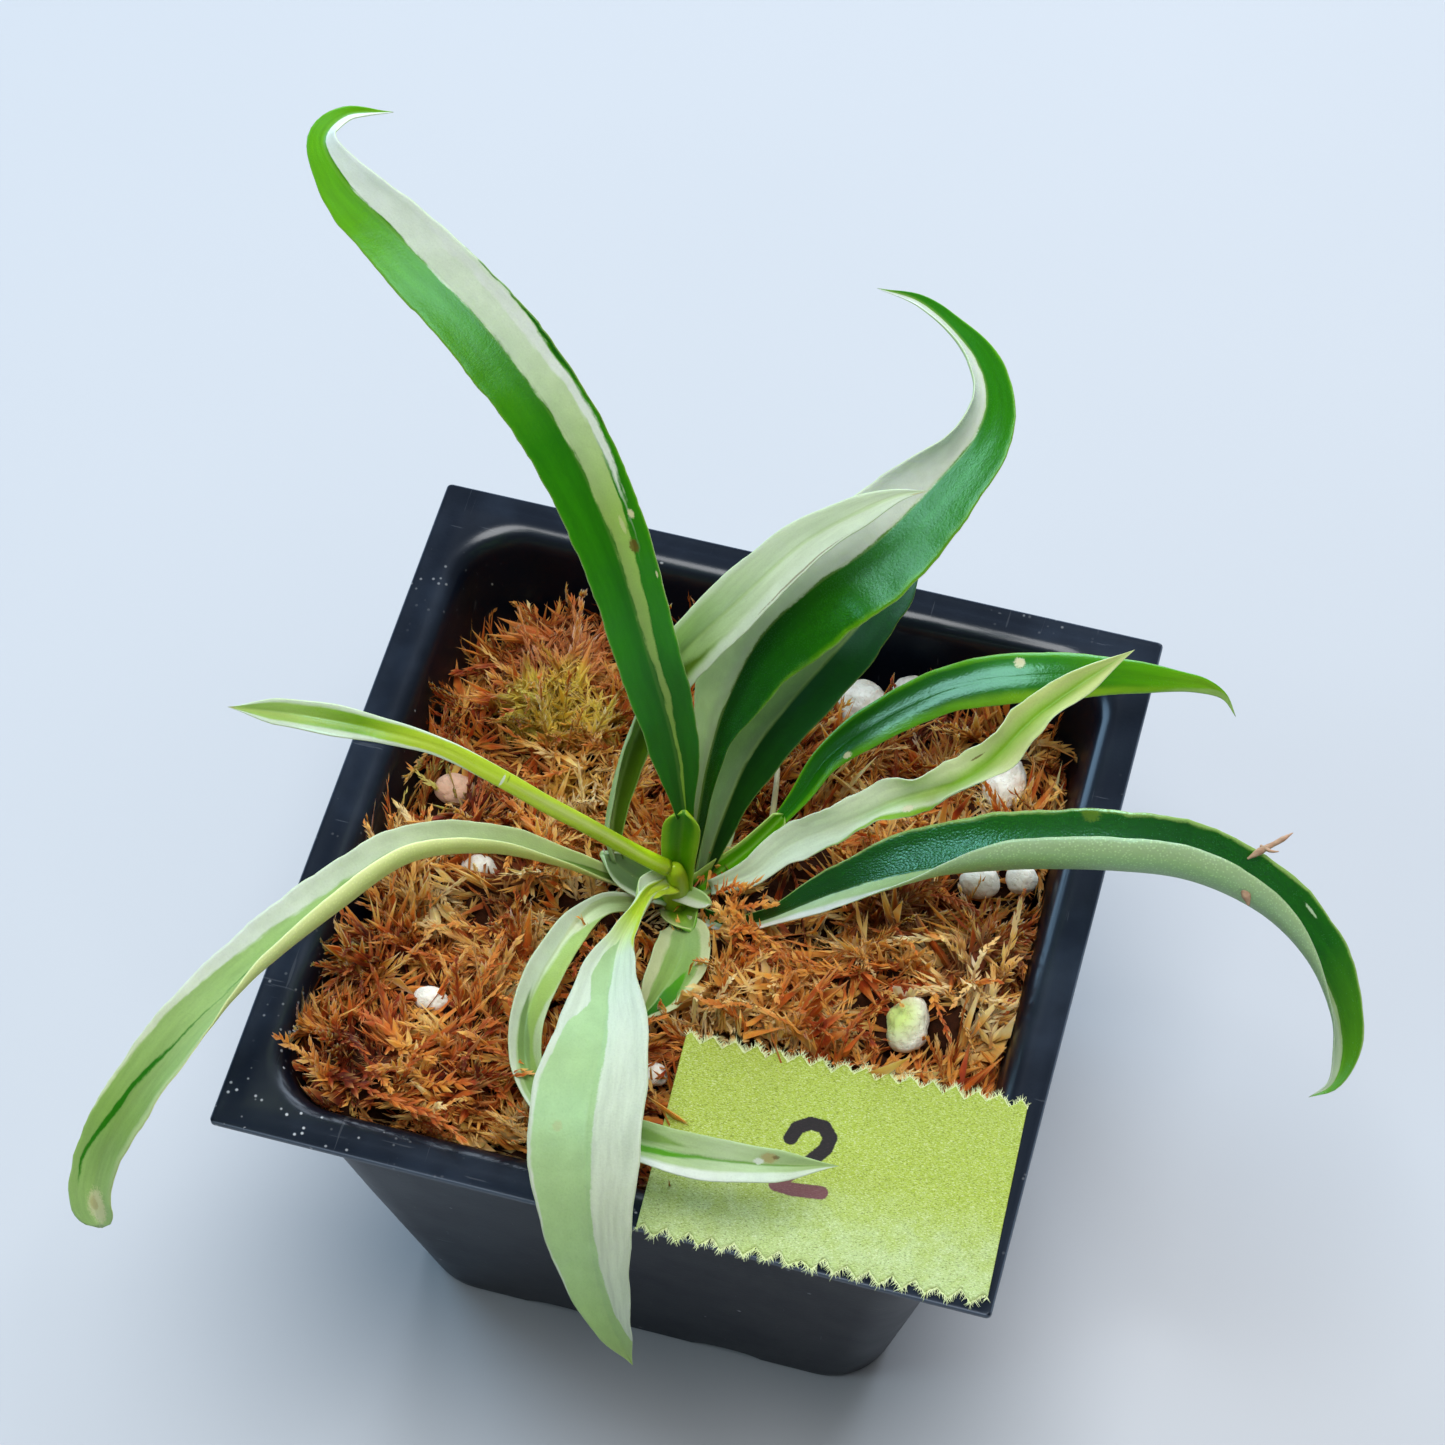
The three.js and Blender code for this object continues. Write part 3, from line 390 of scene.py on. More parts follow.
leaves = {
    "leaf_1": {
        "path": [(-1.5, -0.4, 66.2), (-3.2, 2.1, 75), (-6.4, 4.7, 86.5), (-10.3, 8.4, 97), (-16, 13.1, 105),
                 (-24.5, 18.3, 111), (-33, 23, 114), (-40.6, 28, 115), (-43.2, 31.6, 115.2),
                 (-42.2, 34.6, 115), (-38.8, 37.7, 113)],
        "face": [(0.3, -0.8, 0.3), (0.2, -0.6, 0.7), (0.2, -0.5, 0.85), (-0.3, -0.4, 0.85)],
        "half": [0.9, 2.5, 3, 3.2, 3.5, 3.8, 4, 3.8, 3.2, 1.6, 0.05], "rib": [1.4, 1.2, 1, 0.9, 0.8, 0.4],
        "left": [20, 16, 14, 14, 12, 10], "right": [20, 16, 14, 18, 28, 20],
        "base": ("bottle", "green", "green", "grass", "grass"), "under": "lime", "rough": 0.32,
        "ribShow": 0.12,
        "marks": [(0.5, 0.365, 0.55, 0.8, "brown", 0.85), (0.72, 0.399, 0.35, 0.5, "scab", 0.9),
                  (0.4, 0.39, 0.25, 1, "scab", 0.5), (0.9, 0.33, 0.14, 0.4, "scab", 0.8)],
        "bands": [(("yellowGreen", "lime", "lime", "mint", "chalk", "chalk"),
                   [0.08, 0.08, 0.07, 0.03, 0.02, 0, 0, 0, 0.05, 0.15, 0.2],
                   [0.2, 0.22, 0.27, 0.36, 0.52, 0.68, 0.85, 1.1, 1.2, 1.2, 1.2], 0.035),
                  ("chalk", [0.6, 0.6, 0.6, 0.6, 0.64, 0.66, 0.6, 0.62, 0.9, 1.1, 1.2],
                   [0.5, 0.5, 0.5, 0.5, 0.64, 0.88, 0.86, 0.88, 0.9, 1, 1.1], 0.05),
                  ("deep", [1.1, 1.1, 1.1, 1.1, 1.1, 0.98, 0.9, 1.05, 1.2, 1.2, 1.2], 1.3, 0.03)],
    },
    "leaf_2": {
        "path": [(-8.3, -0.9, 56.2), (-8.8, -0.6, 60), (-8.6, 1.7, 65), (-7.3, 4.4, 72.2),
                 (-4.4, 7.2, 80.5), (0.8, 10.7, 88), (5.6, 15.4, 92.4), (9.6, 18.2, 94.6),
                 (12.9, 20.4, 95.6), (15.5, 21.7, 95.6)],
        "face": [(0.6, -0.7, 0.3), (0.5, -0.7, 0.4), (0.1, -0.5, 0.8), (0.1, -0.5, 0.85)],
        "half": [0.8, 1.6, 2.2, 2.6, 2.9, 2.8, 2.4, 1.6, 0.05], "rib": [1.4, 1.1, 0.9, 0.8, 0.4],
        "left": [50, 55, 45, 22, 18, 15], "right": [60, 62, 50, 25, 20, 15],
        "base": ("straw", "fern", "sage", "mint", "mint"), "under": "sage", "rough": 0.44, "wobble": 0.2,
        "marks": [(0.6, 0.985, 0.8, 0.9, "tan", 0.8), (0.9, 0.75, 0.12, 6, "brown", 0.6)],
        "bands": [("olive", [0, 0.05, 0.05, 0.1, 0.6, 1.2, 1.2, 1.2],
                   [1.2, 1.1, 1, 0.6, 0.6, 1.2, 1.2, 1.2], 0.12),
                  ("mint", -1.2, [-0.8, -0.82, -0.84, -0.8], 0.12),
                  ("mint", [1.2, 1.1, 0.7, 0.5, 0.5], 1.2, 0.1)],
    },
    "leaf_3": {
        "path": [(-1.7, 0.8, 54.6), (-1.3, 2.6, 60), (-0.9, 5.2, 67), (0.2, 8.4, 74), (2.6, 12.4, 80.4),
                 (6.8, 16.6, 84.6), (10.6, 20.2, 86.6), (15.3, 27.3, 89.4), (17.6, 32, 90.8),
                 (17.7, 36.2, 91.5), (15.4, 40.2, 92), (9.4, 44.8, 92), (4.7, 46.2, 91)],
        "face": [(0.4, -0.9, 0.2), (0.2, -0.7, 0.5), (0.1, -0.4, 0.9), (0.1, -0.5, 0.85), (0.2, -0.4, 0.85)],
        "half": [0.9, 1, 1.6, 3.8, 5.4, 5.6, 5, 3.8, 2.4, 1.1, 0.05], "rib": [1.5, 1.4, 1.1, 0.9, 0.7, 0.4],
        "left": [40, 25, 15, 15, 35, 58, 68, 30], "right": [40, 20, 8, 4, 6, 14, 20, 20],
        "base": ("ink", "deep", "bottle", "green", "green", "green"), "under": "sage", "rough": 0.26,
        "ribShow": 0.3, "wobble": 0.12, "gloss": 0.34,
        "bands": [(("grey", "paleSage", "chalk", "chalk", "chalk"), -1.2, [-0.02, 0, 0, 0], 0.02),
                  ("grass", [1.2, 1, 0.93, 0.94, 1], 1.2, 0.08)],
    },
    "leaf_4": {
        "path": [(-0.4, 1.7, 52.2), (0.5, 4.8, 57.2), (2, 9.3, 62.5), (4.6, 13.9, 66), (8.6, 20.3, 69.5),
                 (11.5, 26.9, 70), (13.6, 32.6, 68.4)],
        "face": [(0.2, -0.6, 0.6), (0.1, -0.5, 0.8), (0.1, -0.4, 0.9)],
        "half": [0.9, 1.8, 3.1, 3.5, 3.5, 2.6, 0.08], "rib": [1.4, 1.1, 0.9, 0.8, 0.4],
        "fold": [30, 20, 14, 10], "base": ("ink", "deep", "deep"), "under": "olive", "rough": 0.4,
        "wobble": 0.12,
        "bands": [(("grey", "grey", "sage"), -1.2, [-0.02, 0.02, 0, 0], 0.04)],
    },
    "leaf_5": {
        "path": [(5.5, 7, 55.4), (7.3, 9.3, 58), (8.9, 12.4, 60.2), (11.8, 15.4, 62.2), (16.4, 19.4, 63.6),
                 (20.2, 21.9, 64.2), (27, 24.6, 64.4), (33.8, 27.4, 63), (39.4, 29.9, 60.6),
                 (42.8, 31.2, 58.8), (44.8, 31.6, 57), (46.2, 30.9, 55)],
        "face": [(-0.2, -0.4, 0.8), (0, -0.3, 0.9), (0.1, -0.35, 0.9), (0.4, -0.4, 0.8)],
        "half": [0.7, 1.3, 2, 2.3, 2.6, 2.4, 1.7, 0.9, 0.05], "rib": [1.2, 1.1, 0.9, 0.8, 0.4],
        "fold": [10, -10, -14, -14, -8],
        "base": ("green", "bottle", "bottle", "green", "grass", "yellowGreen"), "under": "olive",
        "rough": 0.24, "ribShow": 0, "wobble": 0.2, "gloss": 0.55,
        "marks": [(-0.56, 0.538, 0.6, 0.6, "scab", 0.85), (0.67, 0.187, 0.5, 0.5, "scab", 0.85)],
        "bands": [(("grass", "grass", "yellowGreen", "grass"), [0.62, 0.6, 0.6, 0.56], 1.2, 0.2),
                  ("grass", -1.2, [-0.84, -0.8, -0.8, -0.74], 0.12),
                  ("fern", [1.2, 1.2, 1.2, 1.2, 1.2, 1.2, 1.2, 0.6, -1.2], 1.2, 0.2)],
    },
    "leaf_6": {
        "path": [(0.9, -0.3, 53.2), (4.8, 1, 55.8), (7.4, 3.3, 58), (10.8, 4.6, 60.6), (14, 5.7, 63),
                 (17.2, 6.8, 65.6), (20.4, 7.4, 68), (23.2, 7.8, 70.4), (25.5, 9.6, 72), (28.5, 14, 74),
                 (33.6, 19.6, 76), (36.1, 21.9, 77)],
        "face": [(0, -0.5, 0.85), (0, -0.5, 0.85), (-0.1, -0.5, 0.85), (0, -0.4, 0.85)],
        "half": [0.8, 1.7, 2.2, 2.1, 2.1, 2.2, 2.1, 1.6, 0.05], "rib": [1.2, 1.1, 0.9, 0.7, 0.4],
        "left": [20, 20, 20, 24, 10, 44, 8, 46, 20, 34, 24],
        "right": [30, 34, 34, 24, 58, 20, 62, 20, 50, 30, 24],
        "base": ("mint", "mint", "cream", "butter", "butter"), "under": "mint", "rough": 0.44,
        "ribShow": 0.05, "ruffle": 0.85, "uneven": 0.2,
        "marks": [(0.61, 0.464, 0.4, 0.7, "scab", 0.9), (-0.5, 0.643, 0.12, 0.9, "brown", 0.8)],
        "bands": [(("sage", "sage", "lime", "lime", "lime"),
                   [0.1, 0.1, 0.1, 0.1, 0, -0.1, -0.3, -0.5, -0.5, -0.4, 0],
                   [-0.3, -0.3, -0.3, -0.1, 0.3, 0.5, 0.5, 0.5, 0.5, 0.4, 0], 0.3),
                  ("yellowGreen", [0, 0, 0, 0, 0, 0, -0.12, -0.14, -0.2, -0.1, 0],
                   [-0.2, -0.2, -0.2, -0.2, -0.1, 0, 0.12, 0.14, 0.1, 0, -0.1], 0.14),
                  ("yellowGreen", [1.2, 1.2, 1.2, 0.9, 0.68, 0.75, 1.1, 1.2, 1.2, 1.2, 1.2], 1.2, 0.12)],
    },
    "leaf_7": {
        "path": [(0.6, -2.6, 51.2), (3.8, -3.4, 52.4), (7.3, -3, 54.8), (11.5, -1.6, 58),
                 (15.6, -0.4, 60.9), (20, 0.9, 63.2), (28.4, 2.3, 66.4), (38.5, 4, 68), (46, 5.6, 66.6),
                 (53, 5.9, 63), (57.8, 4.6, 59.6), (61.6, 2, 55.6), (63.4, -1.2, 52), (63.1, -3.8, 50),
                 (61.2, -5.2, 49)],
        "face": [(0, -0.2, 0.9), (0, -0.1, 1), (0, 0, 1), (0.1, 0, 1), (0.3, -0.2, 0.9), (0.2, -0.5, 0.85)],
        "half": [0.9, 1, 2.5, 4, 4.8, 5.1, 5, 4.4, 3.5, 2.1, 0.05], "rib": [1.3, 1.2, 1, 0.9, 0.8, 0.4],
        "left": [20, 20, 24, 28, 30, 28, 22, 18], "right": [20, 22, 45, 92, 98, 92, 55, 20],
        "base": ("deep", "deep", "bottle", "deep", "bottle", "grass"), "under": "leek", "rough": 0.24,
        "ribShow": 0.05, "wobble": 0.16, "beads": 1.4, "gloss": 0.95,
        "marks": [(-0.9, 0.5, 0.8, 0.9, "olive", 0.8), (-0.72, 0.761, 0.2, 0.9, "mint", 0.8)],
        "bands": [(("paleSage", "sage", "sage", "paleSage"), 0.04, 1.2, 0.03),
                  (("chalk", "chalk", "white", "mint", "mint"),
                   [0.62, 0.5, 0.6, 0.72, 0.76, 0.72, 0.7, 0.66, 0.5, 0.2, 0.1], 1.2, 0.14),
                  ("fern", -1.2, -0.95, 0.05)],
    },
    "leaf_8": {
        "path": [(-2.2, -2.8, 59.8), (-3.1, -3.4, 61.3), (-5.2, -3.8, 63.2), (-9.5, -5.3, 69),
                 (-12.9, -6.3, 73), (-17, -6.9, 77), (-22.6, -7.1, 80.4), (-28, -8, 82.6), (-35, -9.1, 84),
                 (-42, -9.5, 83)],
        "face": [(0.4, -0.3, 0.6), (0.2, -0.4, 0.8), (0.1, -0.5, 0.85)],
        "half": [1, 0.95, 0.95, 0.95, 0.95, 0.9, 0.9, 1.15, 1.55, 1.3, 0.05],
        "rib": [1.9, 1.8, 1.6, 1.3, 1, 0.4], "fold": [-36, -36, -30, -10, 20, 24],
        "base": ("young", "young", "bright", "bright", "bright", "bright", "yellowGreen", "lime", "lime"),
        "under": "yolk", "rough": 0.3, "ribShow": 0, "wobble": 0.15, "gloss": 0.5,
        "marks": [(-0.2, 0.46, 1.2, 0.16, "chalk", 0.8), (0.3, 0.45, 0.8, 0.1, "olive", 0.5),
                  (0, 1, 1, 0.9, "tan", 0.9)],
        "bands": [("mint", [1.2, 1.2, 1.1, 0.8, 0.72, 0.8], 1.2, 0.1),
                  ("mint", -1.2, [-1.2, -1.2, -1.1, -0.75, -0.6, -0.7], 0.1),
                  ("yolk", -0.2, [-0.2, 0.3, 0.4, -0.2, -0.2, -0.2, -0.2], 0.3)],
    },
    "leaf_9": {
        "path": [(-6.8, -2.1, 53.6), (-9.2, -2.6, 55.2), (-12.9, -4.4, 59.4), (-18.6, -7.7, 65),
                 (-24.7, -12.8, 69), (-29.4, -20, 70), (-34.7, -27.7, 69), (-39.6, -35.3, 66.5),
                 (-43.5, -42.3, 62), (-45.1, -45.6, 58), (-45.3, -47.9, 55), (-44.4, -49.2, 52)],
        "face": [(0, -0.3, 0.9), (0, -0.2, 1), (0, -0.2, 1), (-0.1, -0.4, 0.9), (-0.1, -0.6, 0.7)],
        "half": [0.8, 1.2, 2, 2.6, 3.2, 3.6, 3.5, 3.2, 2.8, 2.4, 2], "blunt": 0.035,
        "rib": [1.3, 1.2, 1, 0.9, 0.8, 0.4], "left": [40, 70, 88, 92, 80, 40, 20, 8],
        "right": [20, 22, 25, 26, 24, 20, 15, 8],
        # leaf 9's underside hue is brighter than its own colour: painted light, for the light that reaches
        # the turned-down underside
        "base": ("olive", "fern", "fern", "sage", "sage", "fern", "sage"), "under": "glow", "rough": 0.42,
        "ribShow": 0.06, "wobble": 0.26, "uneven": 0.09,
        "marks": [(-0.25, 0.965, 1.8, 2.4, "scab", 0.75), (-0.1, 0.96, 0.8, 0.9, "tan", 0.6)],
        "bands": [(("butter", "buttermilk", "white", "chalk", "cream", "sage"),
                   [0.3, 0.2, 0.1, 0.05, 0.12, 0.16, 0.22, 0.3, 0.32, 0.4, 0.46, 0.52, 0.6, 0.7, 0.8, 0.88,
                    0.94, 1, 1.1, 1.1, 1.1], 1.2, 0.05),
                  (("butter", "buttermilk", "sage"), -1.2, -0.8, 0.1),
                  ("green", [0.2, 0.2, 0.2, 0.2, -0.02, 0.2, -0.02, 0.04, 0.05, 0.18, 0.6, 0.6],
                   [0, 0, 0, 0, 0.05, 0, 0.04, 0.05, 0.12, 0.4, 0.7, 0.3], 0.035)],
    },
    "leaf_10": {
        "path": [(-4.9, -3, 51.9), (-8, -5.4, 54.8), (-9.7, -9.2, 57), (-10.6, -14.2, 59), (-11, -18.4, 60),
                 (-11, -22, 59.4), (-10, -25.4, 57.8), (-7.2, -28.8, 58), (-3.4, -31, 60),
                 (1.6, -32.2, 62.4), (8, -33, 63.6), (15, -32.4, 64.2), (21.3, -30.2, 63)],
        "face": [(0, -0.4, 0.8), (0.2, -0.5, 0.85), (0.2, -0.4, 0.85), (0.2, -0.3, 0.85), (0.1, -0.5, 0.85)],
        "half": [0.8, 1.2, 1.8, 2, 1.8, 1.5, 1.6, 2, 2.1, 1.6, 0.05], "rib": [1.2, 1, 0.9, 0.8, 0.7, 0.4],
        "fold": [20, 25, 30, 20, 15, 15],
        "base": ("fern", "cream", "paleSage", "sage", "sage", "paleSage", "sage"), "under": "sage",
        "rough": 0.44, "ribShow": 0.05, "wobble": 0.25, "blunt": 0.02,
        "marks": [(-0.44, 0.895, 0.8, 0.9, "tan", 0.8), (-0.2, 0.88, 0.45, 0.5, "chalk", 0.9),
                  (-0.5, 0.905, 0.3, 0.4, "brown", 0.6)],
        "bands": [(("fern", "lime", "fern", "fern", "fern"),
                   [-1.2, -1.2, -1.1, -1, -0.5, -0.75, -0.75, -0.7, -0.2, 0, 0],
                   [-1.2, -1, -0.2, -0.1, 0.4, -0.1, -0.1, -0.1, -0.4, -0.2, 0], 0.1),
                  (("mint", "mint", "mint", "chalk", "mint"),
                   [0.7, 0.6, 0.1, 0.1, 0.55, 0.82, 0.8, 0.7, 0.56, 0.46, 0.4], 1.2, 0.1),
                  (("fern", "slate", "fern", "grass", "fern"),
                   [0.3, 0.3, 0.3, 0.3, -0.3, 0.12, 0.12, 0.12, -0.06, -0.06, -0.05],
                   [0.2, 0.2, 0.2, 0.2, 0.4, 0.5, 0.6, 0.5, 0.05, 0.04, 0.03], 0.07)],
    },
    "leaf_11": {
        "path": [(-3, -3.4, 57.4), (-3.7, -5.6, 59.4), (-3.8, -8.4, 61.4), (-3.8, -14.6, 65.2),
                 (-3.4, -19, 67.4), (-1.8, -27, 70.2), (-0.9, -34.9, 70.2), (0.7, -41.1, 67),
                 (2.2, -44.6, 62.4), (4.2, -47, 55.6), (6.4, -47.6, 47.4)],
        "face": [(0.2, -0.3, 0.8), (0, -0.5, 0.85), (0, -0.5, 0.85), (0, -0.6, 0.8), (0.1, -0.7, 0.7)],
        "half": [0.7, 0.75, 1.4, 2.9, 4.2, 5.2, 5.2, 4.1, 2.9, 1.6, 0.05],
        "rib": [1.4, 1.3, 1, 0.9, 0.8, 0.4], "fold": [50, 36, 12, 8, 6, 8],
        "base": ("bright", "bright", "mint", "white", "white", "white", "white", "white", "white"),
        "under": "mint", "rough": 0.42, "ribShow": 0, "wobble": 0.16, "uneven": 0.03,
        "marks": [(0.5, 0.56, 0.5, 0.5, "tan", 0.35), (0, 0.995, 1.4, 1.6, "yellowGreen", 0.9)],
        "bands": [(("leek", "leek", "leek", "leek", "lime"),
                   [0.1, 0.1, 0.1, 0.1, 0.1, 0, -0.06, -0.04, -0.08, -0.1, -0.1, -0.12, -0.12, -0.1, -0.12,
                    -0.15, -0.2, -0.3, -0.65, -1.2, -1.2],
                   [0, 0, 0, 0, 0.1, 0.5, 0.6, 0.4, 0.8, 0.86, 0.9, 0.92, 0.94, 0.95, 0.96, 0.97, 0.98, 1,
                    1.1, 1.2, 1.2], 0.025),
                  ("bright", -1.2, [-0.8, -0.6, -0.75] + [-1.3] * 8, 0.12),
                  ("bottle", -1.2, [-1.3] * 5 + [-0.96] + [-1.3] * 15, 0.04)],
    },
    "leaf_12": {
        "path": [(-1.1, -3.9, 51.8), (0.1, -6.8, 53.6), (0.3, -10.4, 54.9), (-0.4, -13.8, 55.1),
                 (-1.8, -16.6, 54.2)],
        "face": [(0, -0.4, 0.9), (0.1, -0.4, 0.9), (0.1, -0.5, 0.85)], "half": [1, 2.7, 3, 2.4, 0.15],
        "rib": [1.2, 1, 0.8, 0.4], "fold": [30, 26, 22, 20], "base": ("sage", "fern", "fern"),
        "under": "sage", "rough": 0.42, "ribShow": 0.05,
        "bands": [("buttermilk", [0.56, 0.56, 0.58, 0.56, 0.46], 1.2, 0.08),
                  ("buttermilk", -1.2, [-0.55, -0.6, -0.66, -0.7, -0.5], 0.08),
                  (("bottle", "grass", "bottle"), [0, 0, -0.36, -0.64, -0.6],
                   [-0.2, -0.2, -0.44, 0.02, -0.1], 0.05)],
    },
}


# The tree that sweeps a blade along its midrib: a thin slab, whose halves turn up by their folds, the
# outer part of each more than the inner part, with a keel under the midrib
def bladeTree():
    g = Growth("bladeSweep", ("Columns", "Int", 33), ("Rows", "Int", 120), ("Thickness", "Float", 0.0002),
               ("Ruffle", "Float", 0.0), ("Uneven", "Float", 0.0), ("Seed", "Float", 0.0))
    columns, rows, body = g.given("Columns", "Rows", "Thickness")
    guide = g.geometry("MeshToCurve", g.start)
    slab = g.node("GeometryNodeMeshCube", {}, {
        "Size": (2, 1, 1), "Vertices X": columns, "Vertices Y": rows, "Vertices Z": 2})
    across, down, layer = g.split(g.place())
    run = down + 0.5

    def sample(name, kind="FLOAT"):
        return g.geometry("SampleCurve", guide, {"data_type": kind, "mode": "FACTOR"},
                          Value=g.named(name, kind), Factor=run)

    shape = g.keep(slab, "across", across)
    shape = g.keep(shape, "along", run)
    shape = g.keep(shape, "under", g.maths("LESS_THAN", layer, 0))
    for k in range(blade["bands"]):
        name = f"band{k + 1}"
        shape = g.keep(shape, name, sample(name, "FLOAT_VECTOR"), "FLOAT_VECTOR")
    half, rib, left, right = [sample(name) for name in ("half", "rib", "left", "right")]
    look = sample("face", "FLOAT_VECTOR")

    isRight = g.maths("GREATER_THAN", across, 0)
    side = isRight * 2 - 1
    share = g.maths("ABSOLUTE", across)
    broad = g.rise(half, *blade["broad"])
    # in millimetres, apart for each side
    travel = run * g.geometry("CurveLength", guide) * 1000 + side * blade["sideApart"] + g.given("Seed")
    lobes = g.cloud(travel, blade["lobeScale"], 3.0, 0.6, "1D") - 0.5
    reach = half * (1 + lobes * broad * g.given("Uneven") * 2)
    shape = g.keep(shape, "reach", reach * share)

    fold = left + (right - left) * isRight + blade["leastFold"]
    first = fold * blade["foldAtRib"]
    turn = fold * blade["foldMore"]
    angle = first + turn * share
    outwards = reach * (g.maths("SINE", angle) - g.maths("SINE", first)) / turn
    upwards = reach * (g.maths("COSINE", first) - g.maths("COSINE", angle)) / turn
    waves = g.cloud(travel + 57, blade["ruffleScale"], 2.0, 0.5, "1D") - 0.5
    ruffle = waves * g.given("Ruffle") * 2 * broad * share * share

    lean = side * angle * g.maths("MINIMUM", reach * share / blade["leanReach"], 1)
    thin = g.rise(share, blade["thinFrom"], 1.0, 1.0, blade["edgeThin"])
    inRib = reach * share / (blade["keelWide"] + half * blade["keelShare"])
    keel = g.maths("EXPONENT", -(inRib * inRib))
    top = body * 0.5 * thin - keel * blade["channel"]
    bottom = (body * 0.5 + (rib - blade["ribSunk"] - body * 0.5) * keel) * thin
    lift = g.maths("GREATER_THAN", layer, 0) * (top + bottom) - bottom + ruffle
    flatX = side * outwards - g.maths("SINE", lean) * lift
    flatY = upwards + g.maths("COSINE", lean) * lift

    tangent = g.maths("NORMALIZE", half.pick("Tangent"))
    square = g.maths("NORMALIZE", look - tangent * g.measure("DOT_PRODUCT", look, tangent))
    aside = g.maths("CROSS_PRODUCT", tangent, square)
    place = half.pick("Position") + aside * flatX + square * flatY
    return g.end(g.smooth(g.geometry("SetPosition", shape, Position=place)))


# One hue, or a run of hues from stalk to tip
def hueAlong(s, hue, run):
    if isinstance(hue, str):
        return hues[hue]
    return s.ramp(run, [(k / (len(hue) - 1), hues[name]) for k, name in enumerate(hue)])


def leafFinish(name, look, lengthMm, seed):
    s = Finish(name, Subsurface_Weight=0.3, Subsurface_Scale=0.0012, Subsurface_Radius=(0.8, 1.0, 0.5),
               Specular_IOR_Level=look.get("gloss", 0.3), Specular_Tint=(0.46, 1.0, 0.92, 1))
    halfMm = max(look["half"])
    across, run, under, reach = [s.read(key) for key in ("across", "along", "under", "reach")]
    spread = s.join(across * halfMm, run * lengthMm, seed * 5.1)
    # in millimetres, drawn out along the blade
    streak = s.cloud(s.join(across * halfMm, run * lengthMm * 0.14, seed * 7.3), 1.1, 5.0, 0.6)
    mottle = s.cloud(spread, 0.45, 4.0, 0.55)
    grain = s.cloud(spread, 5.5, 2.0, 0.6)
    beads = s.cells(spread, 3.6)
    wobble = (streak - 0.5) * look.get("wobble", 0.35) + (mottle - 0.5) * 0.12 + (grain - 0.5) * 0.04
    place = across + wobble
    ground = hueAlong(s, look["base"], run)
    colour = s.tint(s.rise(streak, 0.32, 0.68), s.shade(ground, 0.9), s.shade(ground, 1.08))
    for k, (hue, _, _, soft) in enumerate(look["bands"]):
        low, high, _ = s.split(s.read(f"band{k + 1}", "Vector"))
        mask = s.rise(place, low - soft, low + soft) * s.fall(place, high - soft, high + soft)
        band = hueAlong(s, hue, run)
        band = s.tint(s.rise(mottle, 0.35, 0.7), s.shade(band, 0.94), s.shade(band, 1.04))
        colour = s.tint(mask, colour, band)
    # a fine dark and pale grain, a faint midrib and margin, and the marks that are each leaf's own
    colour = s.tint(s.rise(grain, 0.52, 0.7) * 0.22, colour, s.shade(colour, 0.72))
    colour = s.tint(s.rise(grain, 0.44, 0.3) * 0.12, colour, s.shade(colour, 1.3))
    rib = s.fall(reach, 0.00006, 0.00028)
    margin = s.rise(s.maths("ABSOLUTE", across), 0.96, 0.995)
    colour = s.tint(rib * look.get("ribShow", 0.3), colour, hues["lime"])
    colour = s.tint(margin * look.get("edge", 0.25), colour, hues["lime"])
    scars = 0.0
    for u, v, wide, high, hue, strength in look.get("marks", []):
        apart = s.measure("LENGTH", s.join((across - u) * halfMm / wide, (run - v) * lengthMm / high, 0))
        mask = s.fall(apart + (grain - 0.5) * 1.1, 0.6, 1.1) * strength
        colour = s.tint(mask, colour, hues[hue])
        scars = mask + scars
    # the underside is paler, and its hue shows through a fine web of cells
    bead = look.get("beads", 0.5) * 0.5
    web = s.rise(beads, 0.12, 0.42) * min(bead, 0.8)
    beneath = s.tint(0.8, colour, hues[look["under"]])
    colour = s.tint(under, colour, s.tint(web, s.shade(beneath, 1.22), s.shade(beneath, 0.7)))
    rough = look["rough"] + (mottle - 0.5) * 0.1 + (grain - 0.5) * 0.16 + under * 0.2
    height = grain * 0.3 - beads * bead - rib * 0.7 + mottle * 1.6 + streak * 0.4 - scars * 0.6
    return s.feed(Base_Color=colour, Roughness=rough, Normal=s.relief(height, 0.3, 0.0001))


# The guide of a blade. A "fold" stands for both halves, and a "blunt" end is rounded off.
def bladeGuide(name, look, count):
    steps = [i / (count - 1) for i in range(count)]
    blunt = look.get("blunt", 0.001)
    marks = {
        "half": [along(look["half"], t) * mm * roundEnd(t, blunt, 0.01) for t in steps],
        "rib": [along(look["rib"], t) * mm for t in steps],
        "face": [[along(axis, t) for axis in zip(*look["face"])] for t in steps],
    }
    for side in ("left", "right"):
        marks[side] = [math.radians(along(look.get(side, look.get("fold")), t)) for t in steps]
    away = ("", 2, 2, 0)
    for k in range(blade["bands"]):
        _, low, high, _ = look["bands"][k] if k < len(look["bands"]) else away
        marks[f"band{k + 1}"] = [(along(low, t), along(high, t), 0) for t in steps]
    return guideMesh(name, smoothPath(look["path"], count), marks)


sweep = bladeTree()


def growBlade(name, look, seed, finishName, ruffle, uneven):
    path = smoothPath(look["path"], blade["measureSteps"])
    lengthMm = sum((q - p).length for p, q in zip(path, path[1:])) / mm
    rows = max(int(lengthMm * blade["rowsPerMm"]), blade["fewestRows"])
    return grow(name, bladeGuide(name, look, rows * 2), sweep, Columns=blade["columns"], Rows=rows,
                Thickness=blade["thickness"] * mm, Ruffle=look.get("ruffle", ruffle) * mm,
                Uneven=look.get("uneven", uneven), Seed=float(seed * 100),
                Finish=leafFinish(finishName, look, lengthMm, seed))


